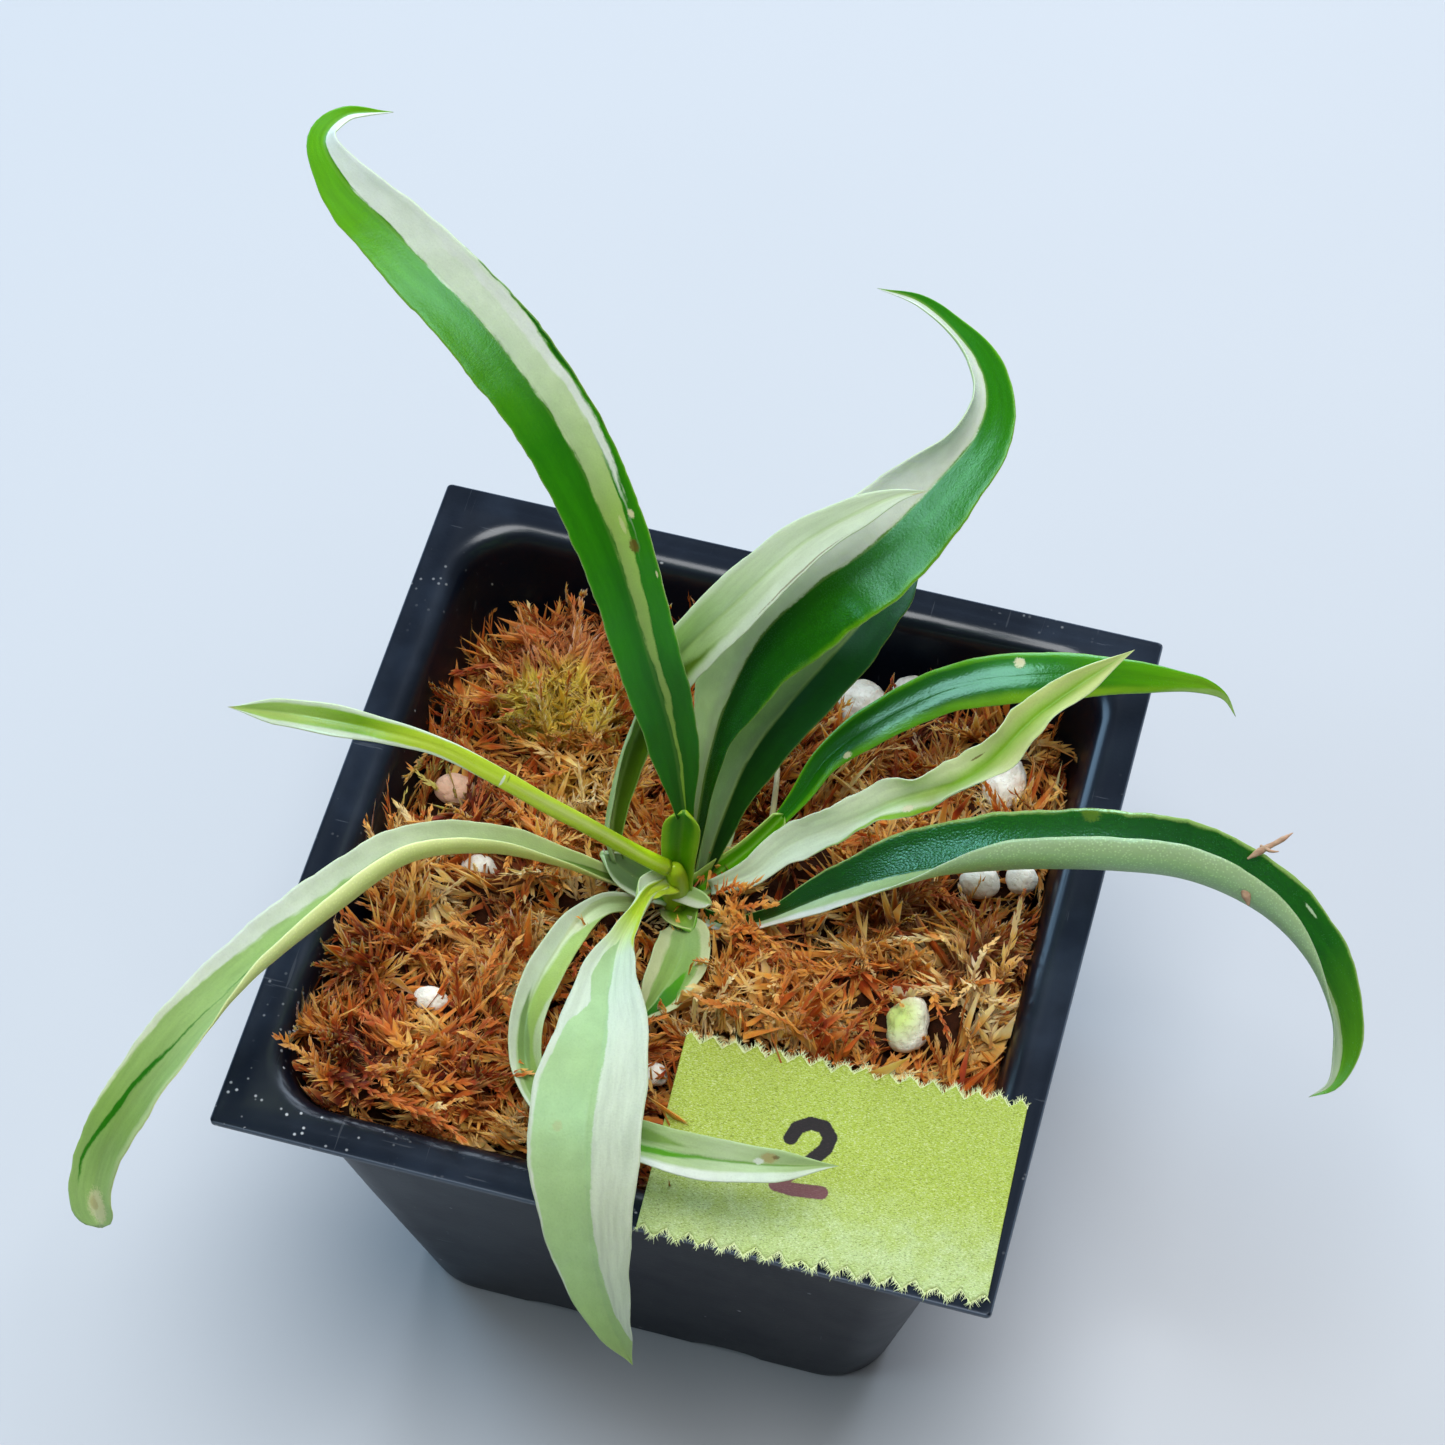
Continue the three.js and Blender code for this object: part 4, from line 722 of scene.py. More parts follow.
slots = {row["node"]: row["material_slot"] for row in frame["record"]["subparts"]}
for seed, (name, look) in enumerate(leaves.items(), 1):
    piece = growBlade(name + "Blade", look, seed, name + "Skin", blade["ruffle"], blade["uneven"])
    settle(piece, slots[name], name)
print("leaves grown")


# The pot
# The thin square pot as one closed skin of round-cornered square rings, from the middle of its inner
# floor, up the inside, over the lip and the flange, and down the outside. Each ring: half width,
# corner radius, height, in millimetres.
pot = {
    "cornerSteps": 14,
    "rings": [
        (10, 5, 1.2), (23.9, 5.5, 1.2), (24.3, 6, 1.4), (24.6, 6.1, 1.9), (28.7, 6, 28), (32.6, 6, 51.6),
        (32.8, 6, 52.8), (32.95, 6.05, 53.5), (33.2, 6.15, 54.05), (33.55, 6.3, 54.5), (34.0, 6.5, 54.8),
        (34.5, 6.7, 54.95), (34.9, 6.8, 55), (35.8, 3.6, 54.97), (37.0, 0.9, 54.95), (37.3, 0.6, 55.02),
        (37.44, 0.55, 54.98), (37.5, 0.5, 54.86), (37.5, 0.5, 54.4), (37.4, 0.5, 54.22), (36.9, 0.8, 54.2),
        (34.6, 5.6, 54.2), (33.95, 6, 54.1), (33.7, 6, 53.6), (29.8, 6.4, 28), (25.7, 6.9, 2.0),
        (25.45, 6.9, 0.7), (25.2, 6.8, 0.2), (24.8, 6.6, 0.0), (10, 5, 0.0),
    ],
    "foot": {"Arch width": 8, "Arch height": 2, "Arch offset": 9, "Arch place": 26.9, "Drain radius": 2.5,
             "Drain offset": 14},
    "archSides": 48, "archDeep": 0.009, "drainSides": 40, "drainDeep": 0.006, "sharpFrom": 0.7,
}
footSizes = {name: size * mm for name, size in pot["foot"].items()}


def squareRing(half, radius, height):
    ring = []
    for quarter in range(4):
        turn = Matrix.Rotation(quarter * math.pi / 2, 3, "Z")
        for step in range(pot["cornerSteps"] + 1):
            angle = step / pot["cornerSteps"] * math.pi / 2
            ring.append(turn @ Vector((half - radius + radius * math.cos(angle),
                                       half - radius + radius * math.sin(angle), height)) * mm)
    return ring


def potSkin():
    shape = bmesh.new()
    rings = [[shape.verts.new(p) for p in squareRing(*ring)] for ring in pot["rings"]]
    for inner, outer in zip(rings, rings[1:]):
        for a, b, c, d in zip(inner, inner[1:] + inner[:1], outer[1:] + outer[:1], outer):
            shape.faces.new((a, d, c, b))
    shape.faces.new(rings[0])
    shape.faces.new(rings[-1][::-1])
    return turnOut(shape, bpy.data.meshes.new("pot"))


# The tree that cuts the arched notches out of the pot's foot and the drain holes out of its floor
def footTree():
    g = Growth("potFoot", *[(name, "Float", size) for name, size in footSizes.items()])
    archWide, archHigh, archAside, archOut, drain, drainAside = g.given(*footSizes)
    arch = g.node("GeometryNodeMeshCylinder", {}, {
        "Vertices": pot["archSides"], "Radius": 1.0, "Depth": pot["archDeep"]})
    arch = g.geometry("Transform", arch, Rotation=(math.pi / 2, 0, 0))
    arch = g.geometry("Transform", arch, Scale=g.join(archWide * 0.5, 1.0, archHigh))
    hole = g.node("GeometryNodeMeshCylinder", {}, {
        "Vertices": pot["drainSides"], "Radius": drain, "Depth": pot["drainDeep"]})
    cutters = g.node("GeometryNodeJoinGeometry")
    for cutter, x, y in (
            (arch, -archAside, archOut), (arch, archAside, archOut), (hole, drainAside, drainAside)):
        moved = g.geometry("Transform", cutter, Translation=g.join(x, y, 0))
        g.tree.links.new(moved.socket, cutters.socket.node.inputs[0])
    sides = g.node("GeometryNodeMeshLine", {"mode": "OFFSET"}, {"Count": 4, "Offset": (0, 0, 0)})
    quarters = g.angles(g.join(0, 0, g.node("GeometryNodeInputIndex") * (math.pi / 2)))
    placed = g.geometry("InstanceOnPoints", sides, Instance=cutters, Rotation=quarters)
    cut = g.geometry("MeshBoolean", g.start, {"operation": "DIFFERENCE", "solver": "EXACT"},
                     Mesh_2=g.geometry("RealizeInstances", placed))
    isSharp = g.maths("GREATER_THAN", g.node("GeometryNodeInputMeshEdgeAngle"), pot["sharpFrom"])
    return g.end(g.geometry("SetShadeSmooth", g.smooth(cut), {"domain": "EDGE"}, Selection=isSharp,
                            Shade_Smooth=False))


def potFinish():
    s = Finish("nurseryPlastic", Specular_IOR_Level=0.2, Specular_Tint=(0.55, 0.74, 1.0, 1),
               Coat_Roughness=0.2)
    x, y, z = s.split(s.place)
    haze = s.cloud(s.place, 70, 4.0, 0.6)
    pebble = s.cloud(s.place, 2600, 2.0, 0.6)
    # white dust, powder along the rim and in the near left corner, and scratches drawn out two ways
    specks = s.cells(s.place * (1.0, 1.7, 1.0) + s.join(pebble * 0.0003, haze * 0.0006, 0), 520.0)
    crumbs = s.cells(s.place + (0.3, 0.1, 0.2), 1500.0)
    dustLot, crumbLot = [s.split(cells.pick("Color"))[0] for cells in (specks, crumbs)]
    dust = s.fall(specks, 0.04, 0.13) * s.rise(dustLot, 0.91, 0.95)
    corner = s.spot((-0.036, -0.037, 0.055), 0.004, 0.026)
    thick = s.rise(s.cloud(s.place, 60, 3.0), 0.5, 0.66) * 0.6 + corner
    powder = s.fall(crumbs, 0.1, 0.3) * s.rise(crumbLot, 0.72, 0.82) * thick * s.rise(z, 0.050, 0.054)
    scratch = s.rise(s.cloud(s.place * (2200, 130, 300), 1.0), 0.71, 0.76)
    scratch = scratch + s.rise(s.cloud(s.place * (150, 2400, 300), 1.0), 0.72, 0.77)
    sheenPatches = s.rise(haze, 0.45, 0.75)
    broad = s.maths("MAXIMUM", s.maths("ABSOLUTE", x), s.maths("ABSOLUTE", y))
    # the plastic's own black, with a blue tint in it that is painted reflection of the blue window light
    colour = s.tint(haze, (0.0022, 0.0036, 0.0080, 1), (0.0038, 0.0060, 0.0130, 1))
    for share, hue in (
            # painted sheen: a lighter blue on the level top of the flange and lip, in cloudy spots
            (s.rise(z, 0.0540, 0.0549) * sheenPatches * 0.5, (0.018, 0.027, 0.046, 1)),
            (scratch * 0.16, (0.16, 0.17, 0.19, 1)),
            # painted highlight: a light blue line along the outer edge of the flange
            (s.rise(broad, 0.0373, 0.03745) * 0.5, (0.13, 0.17, 0.23, 1)),
            (s.maths("MINIMUM", dust * 0.7 + powder * 0.55, 1), (0.55, 0.57, 0.6, 1))):
        colour = s.tint(share, colour, hue)
    rough = 0.3 + haze * 0.14 + dust * 0.3 + sheenPatches * 0.04
    bump = s.relief(pebble * 0.5 + scratch * -0.5 + dust * 1.5 + powder, 0.32, 0.00008)
    # the rounded lip is the shiniest part, the flange less, and the walls stay dull
    shine = s.rise(z, 0.0530, 0.0543) * s.rise(broad, 0.0344, 0.0356, 0.6, 0.1)
    return s.feed(Base_Color=colour, Roughness=rough, Coat_Weight=shine, Normal=bump)


settle(grow("squarePot", potSkin(), footTree(), Finish=potFinish(), **footSizes), "pot", "pot")
print("pot cut and finished")


# The chips: middle and half sizes of each
pumice = {
    "chips": [((-21.5, -19.4, 54.2), (1.7, 1.2, 1.1)), ((23, -10.2, 54), (2.1, 2.9, 2)),
              ((9.4, 26.6, 48.6), (2.8, 2.6, 2.2)), ((13.9, 28.4, 49.4), (2.2, 2.1, 1.9)),
              ((25.4, 20.6, 49.6), (2.1, 3.1, 2)), ((25.8, 7.8, 52.2), (2, 1.8, 1.6)),
              ((29.7, 9, 52.2), (1.6, 1.6, 1.5)), ((-21.8, -3.3, 51.6), (1.9, 1.4, 1.2)),
              ((-27.1, 5.2, 50.6), (2, 1.8, 1.4)), ((1.1, -21.2, 53.4), (1.3, 1.1, 1))],
    "lumps": 0.15, "lumpScale": 330, "pits": 0.018, "pitScale": 1500, "pitEdge": (0.42, 0.55), "fineness": 5,
}


# The moss
# Bumps: height, span and place in the noise. Pits: the same and where they start. Mounds and hollows:
# middle, reach and height. Label: its four sides and the height that the fronds keep under.
moss = {
    "middle": 51.6, "fallBack": 0.15, "fallFront": 0.07, "highest": 54.4, "sunk": 1.0, "cells": 150,
    "bumps": [(2.6, 8, 3.1), (2.2, 3.6, 9.4), (1.0, 1.7, 17.2), (0.4, 0.7, 23.0)],
    "pits": (6.0, 3.4, 40.0, 0.16),
    "walls": [((-1, 0), 4.2), ((1, 0), 4.4), ((0, 1), 5.0), ((0, -1), 2.2)], "wallReach": 6.5,
    "mounds": [((-25, -26), 7, 2.4), ((-27, -12), 6, 0.6), ((25, -4), 6, 1), ((14, -14), 8, 0.8),
               ((7, -6), 4, 0.8), ((22, 4), 3.5, -3), ((13, 1), 4, -1.5), ((-12, -14), 4, -1.5),
               ((31, -14), 4, -3), ((0, -11), 5, -2.6), ((-10, -10), 4, -1.5), ((-27, 20), 6, -1)],
    "insideFoot": 24.5, "insideMouth": 32.9, "mouthZ": 53.4, "floor": 1.2, "gap": 0.35, "corner": 6,
    "level": 0.3, "kinds": 6, "frondSizes": (0.6, 1.25), "shrinkAt": 50,
    # how the fronds lie: the scale and turn of their sheaves, how far some stray, their pitch and roll
    "sheafScale": 70, "sheafTurn": 26, "astray": 1.3, "pitch": (-0.22, 1), "roll": 0.9,
    # fronds thin out by a chip: its margin, how far off they grow in full and their least share; and in
    # a pit: its depth and the share that is lost
    "chipRoom": 1.0, "roomReach": 1.5, "leastRoom": 0.02, "barePit": (0.7, 0.85),
    # the hollow that fronds leave for a chip: its share of the chip's size, how far it lies below the
    # chip's middle, the shares of its reach where its edge starts and ends, and how high the edge goes
    "hollowShare": 0.9, "hollowDrop": 0.4, "hollowEdge": (0.8, 1.25), "hollowRise": 0.01,
    # each batch: name, how many, whether straws, seed and how far they stand up
    "batches": [("mossFronds1", 1400, False, 21, 0.2), ("mossFronds2", 1400, False, 31, 0.5),
                ("mossFronds3", 1400, False, 41, 0.8), ("mossStraws", 3750, True, 71, 0.6)],
    "sprigSeed": 91, "sprigUnit": (8, 0.75),
    "label": (2.6, 37.4, -38.5, -15.3, 54.86),
    # what the fronds leave bare: middle, reach and the height that they keep under
    "bare": [((-2, -1), 3.2, 52.5), ((-0.5, -8), 3.2, 51.6), ((-0.8, -12.5), 3, 52.6), ((-8, -5), 2.6, 51.5),
             ((-11, -12), 2.4, 55), ((-10.6, -18), 2.2, 56), ((5, -3.4), 2.6, 50.6), ((9.5, -2.4), 3, 53),
             ((4.4, 1.4), 2.4, 52.8), ((8.4, 4), 2.4, 55), ((3.6, 4.6), 2.4, 52), ((-7, -1.5), 2.4, 51.4)],
}


def insideHalf(z):
    share = min(max((z - moss["floor"]) / (moss["mouthZ"] - moss["floor"]), 0), 1)
    return moss["insideFoot"] + (moss["insideMouth"] - moss["insideFoot"]) * share


def pitAt(x, y):
    depth, span, layer, start = moss["pits"]
    return depth * max(noiseAt(x / span, y / span, layer) - start, 0)


def mossHeight(x, y):
    slope = moss["fallBack"] if y > 0 else moss["fallFront"]
    z = moss["middle"] - slope * y
    z += sum(height * noiseAt(x / span, y / span, layer) for height, span, layer in moss["bumps"])
    for middle, reach, height in moss["mounds"]:
        z += height * math.exp(-(math.dist((x, y), middle) / reach) ** 2)
    for (wayX, wayY), fall in moss["walls"]:
        near = max(1 - (moss["insideMouth"] - x * wayX - y * wayY) / moss["wallReach"], 0)
        z -= fall * near * near
    return min(z - pitAt(x, y), moss["highest"]) - moss["sunk"]


# The bed that the fronds grow on: the uneven top, and sides down the inside of the pot
def mossBed():
    cells = moss["cells"]
    shape = bmesh.new()

    def place(i, j):
        squareX, squareY = 2 * i / cells - 1, 2 * j / cells - 1
        z = mossHeight(squareX * moss["insideMouth"], squareY * moss["insideMouth"])
        half = insideHalf(z) - moss["gap"]
        x, y = squareX * half, squareY * half
        corner = max(min(abs(x), abs(y)) - (half - moss["corner"]), 0)
        pull = 1 - (1 - math.sqrt(0.5)) * corner / half
        return shape.verts.new(Vector((x * pull, y * pull, z)) * mm)

    rows = [[place(i, j) for j in range(cells + 1)] for i in range(cells + 1)]
    for a, b in zip(rows, rows[1:]):
        for j in range(cells):
            shape.faces.new((a[j], b[j], b[j + 1], a[j + 1]))
    border = [rows[i][0] for i in range(cells)] + [rows[-1][j] for j in range(cells)]
    border += [rows[i][-1] for i in range(cells, 0, -1)] + [rows[0][j] for j in range(cells, 0, -1)]
    shrink = (insideHalf(moss["floor"]) - moss["gap"]) / (insideHalf(moss["shrinkAt"]) - moss["gap"])
    lowZ = (moss["floor"] + moss["gap"]) * mm
    low = [shape.verts.new((v.co.x * shrink, v.co.y * shrink, lowZ)) for v in border]
    for k, v in enumerate(border):
        shape.faces.new((v, low[k], low[(k + 1) % len(low)], border[(k + 1) % len(border)]))
    shape.faces.new(low[::-1])
    shape.verts.index_update()
    edge = {vertex.index for vertex in border + low}
    mesh = turnOut(shape, bpy.data.meshes.new("mossBed"))
    mesh.shade_smooth()
    # fewer fronds take root where a chip or the crown is, and in the pits
    taken = [(at, max(size) + moss["chipRoom"]) for at, size in pumice["chips"]]
    taken += [(at, reach) for at, reach, _ in moss["bare"]]

    def roomAt(spot):
        gap = min(math.dist(spot.xy / mm, at[:2]) - reach for at, reach in taken)
        deep, most = moss["barePit"]
        inPit = min(pitAt(spot.x / mm, spot.y / mm) / deep, most)
        return min(max(gap / moss["roomReach"], moss["leastRoom"]), 1) * (1 - inPit)

    mark(mesh, "room", [0.0 if v.index in edge else roomAt(v.co) for v in mesh.vertices])
    return mesh


# One frond: a thin three-sided stem with keeled pointed leaflets that lie close along it, or a straw, a
# few long blades from one root. The mark "tip" runs from 0 on the stem to 1 at a leaflet's point. A pair
# is the least and the most that the dice give; sizes in millimetres.
frond = {
    "long": (5.5, 10), "bend": (-0.08, 0.08), "arch": (0, 0.1), "climb": 0.35,
    "stem": [(0, 0.16), (0.5, 0.14), (0.92, 0.06)], "stemCorners": (0.5, 2.6, 4.7),
    "leaflets": 24, "firstLeaflet": 0.03, "leafletRun": 0.93, "sides": (1, -0.9, 0.2, -1, 0.9, -0.2),
    "spread": (0.25, 0.75), "climbs": (-0.1, 0.35), "leafletLong": (1.1, 2.1), "leafletBroad": (0.09, 0.15),
    "widest": 0.4, "keel": 0.06, "tipCurl": (-2, 2), "tipMarks": (0.15, 0.45, 1.0),
    "strawBlades": 4, "strawStep": 0.1, "strawAside": (-0.4, 0.4), "strawClimbs": (-0.05, 0.35),
    "strawLong": (0.4, 0.8), "strawBroad": (0.03, 0.08),
}


def mossFrond(name, seed, isStraw):
    dice = random.Random(seed)
    points, faces, tips = [], [], []
    length, bend, arch = [dice.uniform(*frond[key]) for key in ("long", "bend", "arch")]
    atFoot, atMiddle, atTip = frond["tipMarks"]

    def spine(t):
        run = t * length
        return Vector((run, bend * run * run * 0.5, frond["climb"] * run - arch * run * run * 0.5))

    def put(point, tip):
        points.append(point * mm)
        tips.append(tip)
        return len(points) - 1

    def leaflet(root, out, size, broad, first):
        wide = Vector((0, 0, 1)).cross(out).normalized() * size * broad
        lift = out.cross(wide).normalized() * size * frond["keel"]
        middle = root + out * size * frond["widest"]
        base = put(root, first)
        left = put(middle + wide - lift, atMiddle)
        right = put(middle - wide - lift, atMiddle)
        tip = put(root + out * size + lift * dice.uniform(*frond["tipCurl"]), atTip)
        faces.extend([(base, left, right), (left, tip, right), (base, tip, left), (base, right, tip)])

    if isStraw:
        for k in range(frond["strawBlades"]):
            aside, climbs = dice.uniform(*frond["strawAside"]), dice.uniform(*frond["strawClimbs"])
            size, broad = length * dice.uniform(*frond["strawLong"]), dice.uniform(*frond["strawBroad"])
            leaflet(spine(frond["strawStep"] * k), Vector((1, aside, climbs)).normalized(), size, broad, 0.0)
    else:
        ways = [Vector((0, math.cos(a), math.sin(a))) for a in frond["stemCorners"]]
        rings = [[put(spine(t) + way * radius, 0.0) for way in ways] for t, radius in frond["stem"]]
        for low, high in zip(rings, rings[1:]):
            faces += [(low[k], high[k], high[(k + 1) % 3], low[(k + 1) % 3]) for k in range(3)]
        faces += [tuple(rings[0]), tuple(rings[-1][::-1])]
        # the leaflets turn round the stem, and get shorter and lie closer to it towards its tip
        for k in range(frond["leaflets"]):
            t = frond["firstLeaflet"] + frond["leafletRun"] * k / (frond["leaflets"] - 1)
            side = frond["sides"][k % len(frond["sides"])]
            ahead = (spine(min(t + 0.05, 1.0)) - spine(t - 0.05)).normalized()
            spread = dice.uniform(*frond["spread"]) * (1.1 - 0.8 * t)
            aside = Vector((0, side * math.sin(spread), dice.uniform(*frond["climbs"])))
            out = (ahead * math.cos(spread) + aside).normalized()
            size = dice.uniform(*frond["leafletLong"]) * (1.15 - 0.45 * t)
            leaflet(spine(t), out, size, dice.uniform(*frond["leafletBroad"]), atFoot)
    mesh = bpy.data.meshes.new(name)
    mesh.from_pydata(points, [], faces)
    mark(mesh, "tip", tips)
    shape = bmesh.new()
    shape.from_mesh(mesh)
    return bpy.data.objects.new(name, turnOut(shape, mesh))


# The tree that strews fronds over the bed, and then keeps them inside the pot and under the label
def carpetTree():
    g = Growth("mossCarpet", ("Fronds", "Collection"), ("Density", "Float", 1e6), ("Seed", "Int", 1),
               ("Smallest", "Float", 0.6), ("Largest", "Float", 1.2), ("Lift", "Float", 0.4))
    fronds, density, seed, smallest, largest, lift = g.given(
        "Fronds", "Density", "Seed", "Smallest", "Largest", "Lift")
    _, _, facing = g.split(g.node("GeometryNodeInputNormal"))
    strewn = g.geometry(
        "DistributePointsOnFaces", g.start, {"distribute_method": "RANDOM"},
        Selection=g.maths("GREATER_THAN", facing, moss["level"]), Seed=seed,
        Density=density * g.named("room"))
    # fronds lie in loose sheaves: their heading follows a slow cloud, with some of them astray
    heading = g.cloud(g.place(), moss["sheafScale"], 1.0) * moss["sheafTurn"]
    heading = heading + g.chance(-moss["astray"], moss["astray"], seed + 1)
    pitch = -g.chance(*moss["pitch"], seed + 2) * lift
    roll = g.chance(-moss["roll"], moss["roll"], seed + 3)
    placed = g.geometry(
        "InstanceOnPoints", strewn, Instance=g.kinds(fronds), Pick_Instance=True,
        Rotation=g.turned(strewn.pick("Rotation"), g.join(roll, pitch, heading), "LOCAL"),
        Scale=g.chance(smallest, largest, seed + 4))
    placed = g.keep(placed, "tint", g.chance(0.0, 1.0, seed + 5), "FLOAT", "INSTANCE")
    whole = g.geometry("RealizeInstances", placed)
    x, y, z = g.split(g.place())
    deep = moss["mouthZ"] - moss["floor"]
    spread = (moss["insideMouth"] - moss["insideFoot"]) / deep
    half = g.maths("MINIMUM", z - moss["floor"] * mm, deep * mm) * spread
    flat = half + (moss["insideFoot"] - moss["gap"] * 0.5 - moss["corner"]) * mm
    wide = [g.maths("ABSOLUTE", axis) for axis in (x, y)]
    beyond = [g.maths("MAXIMUM", way - flat, 0) for way in wide]
    far = g.maths("SQRT", beyond[0] * beyond[0] + beyond[1] * beyond[1])
    pull = moss["corner"] * mm / g.maths("MAXIMUM", far, moss["corner"] * mm)
    newX, newY = [g.maths("SIGN", axis) * (g.maths("MINIMUM", way, flat) + over * pull)
                  for axis, way, over in zip((x, y), wide, beyond)]
    west, east, south, north, ceiling = [v * mm for v in moss["label"]]
    covered = g.maths("GREATER_THAN", x, west) * g.maths("LESS_THAN", x, east)
    covered = covered * g.maths("GREATER_THAN", y, south) * g.maths("LESS_THAN", y, north)
    newZ = g.maths("MINIMUM", z, ceiling + (1 - covered))
    level = g.join(x, y, 0)
    hollows = [(at, max(size) * moss["hollowShare"], at[2] - moss["hollowDrop"])
               for at, size in pumice["chips"]]
    for at, reach, top in hollows + moss["bare"]:
        away = g.measure("DISTANCE", level, (at[0] * mm, at[1] * mm, 0))
        edge = [reach * share * mm for share in moss["hollowEdge"]]
        newZ = g.maths("MINIMUM", newZ, top * mm + g.rise(away, *edge) * moss["hollowRise"])
    return g.end(g.geometry("SetPosition", whole, Position=g.join(newX, newY, newZ)))


# Spots of colour in the moss: yellow-green and pink by the back left corner and the left wall, and red by
# the right wall, which are its own; the three dark brown ones, under leaves 7, 8 and 9, are painted shade.
# Middle, reach and hue.
mossPatchesAndShade = [
    ((-0.0210, 0.0230, 0.051), 0.0070, (222, 134, 78)), ((-0.0195, 0.0168, 0.051), 0.0068, (226, 198, 74)),
    ((-0.0305, 0.0039, 0.052), 0.0040, (206, 196, 96)), ((-0.0150, 0.0087, 0.051), 0.0050, (228, 172, 62)),
    ((-0.0195, -0.0050, 0.050), 0.0055, (92, 38, 16)), ((0.0270, -0.0020, 0.052), 0.0050, (96, 44, 18)),
    ((0.0190, 0.0020, 0.052), 0.0050, (104, 50, 22)), ((0.0215, -0.0080, 0.054), 0.0032, (190, 60, 22)),
]


# The bed's dark brown is partly its own brown and partly painted shade of the depths between the fronds.
def bedShadeFinish():
    s = Finish("mossPeat", Specular_IOR_Level=0.2)
    grain = s.cloud(s.place, 900, 3.0, 0.6)
    return s.feed(Base_Color=s.tint(grain, tone(20, 9, 4), tone(70, 34, 13)), Roughness=0.85 + grain * 0.1,
                  Normal=s.relief(grain, 0.8, 0.0006))


def frondFinish():
    s = Finish("driedMoss", Subsurface_Weight=0.35, Subsurface_Scale=0.0015,
               Subsurface_Radius=(1.0, 0.45, 0.15), Specular_IOR_Level=0.2)
    grain = s.cloud(s.place, 900, 3.0, 0.6)
    patch = s.cloud(s.place, 120, 3.0, 0.55)
    broad = s.cloud(s.place + (0.03, 0.01, 0.02), 38)
    tip, lot = s.read("tip"), s.read("tint")
    mixed = 0.5 + (lot - 0.5) * 0.5 + (patch - 0.5) * 1.9 + (broad - 0.5) * 1.2 + (grain - 0.5) * 0.2
    colour = s.ramp(mixed, [
        (0.08, tone(74, 22, 8)), (0.26, tone(152, 54, 18)), (0.44, tone(202, 100, 36)),
        (0.6, tone(222, 146, 60)), (0.76, tone(236, 184, 100)), (0.95, tone(244, 218, 154))])
    # the moss's own colours, and dark brown painted shade under leaves 7, 8 and 9
    for middle, reach, hue in mossPatchesAndShade:
        spot = s.spot(middle, reach * 0.5, reach, (patch - 0.5) * 0.012)
        colour = s.tint(spot * 0.85, colour, tone(*hue))
    colour = s.coat(colour, (tip, 0.4, 0.0, 0.6, (116, 44, 16)), (tip, 0.5, 1.0, 0.35, (232, 176, 98)))
    return s.feed(Base_Color=colour, Roughness=0.5 + grain * 0.3, Normal=s.relief(grain, 0.25, 0.0001))


bed = mossBed()
bedPiece = newObject("mossBed", bed)
bed.materials.append(bedShadeFinish())
settle(bedPiece, "moss", "moss")
carpet = carpetTree()
frondSkin = frondFinish()
area = sum(face.area for face in bed.polygons if face.normal.z > moss["level"])


# Grows a piece from fronds of a few kinds, which are cleared away after it
def growFronds(name, kindName, guide, growth, seed, isStraw, **values):
    kinds = bpy.data.collections.new(kindName)
    for k in range(moss["kinds"]):
        kinds.objects.link(mossFrond(f"{kindName}{k}", seed + k, isStraw))
    piece = grow(name, guide, growth, Fronds=kinds, Finish=frondSkin, **values)
    settle(piece, "moss")
    for kind in list(kinds.objects):
        bpy.data.objects.remove(kind)
    bpy.data.collections.remove(kinds)
    print(name, "has", sum(len(face.vertices) - 2 for face in piece.data.polygons), "triangles")


for name, count, isStraw, seed, lift in moss["batches"]:
    growFronds(name, name, bed.copy(), carpet, seed, isStraw, Seed=seed, Density=count / area,
               Smallest=moss["frondSizes"][0], Largest=moss["frondSizes"][1], Lift=lift)
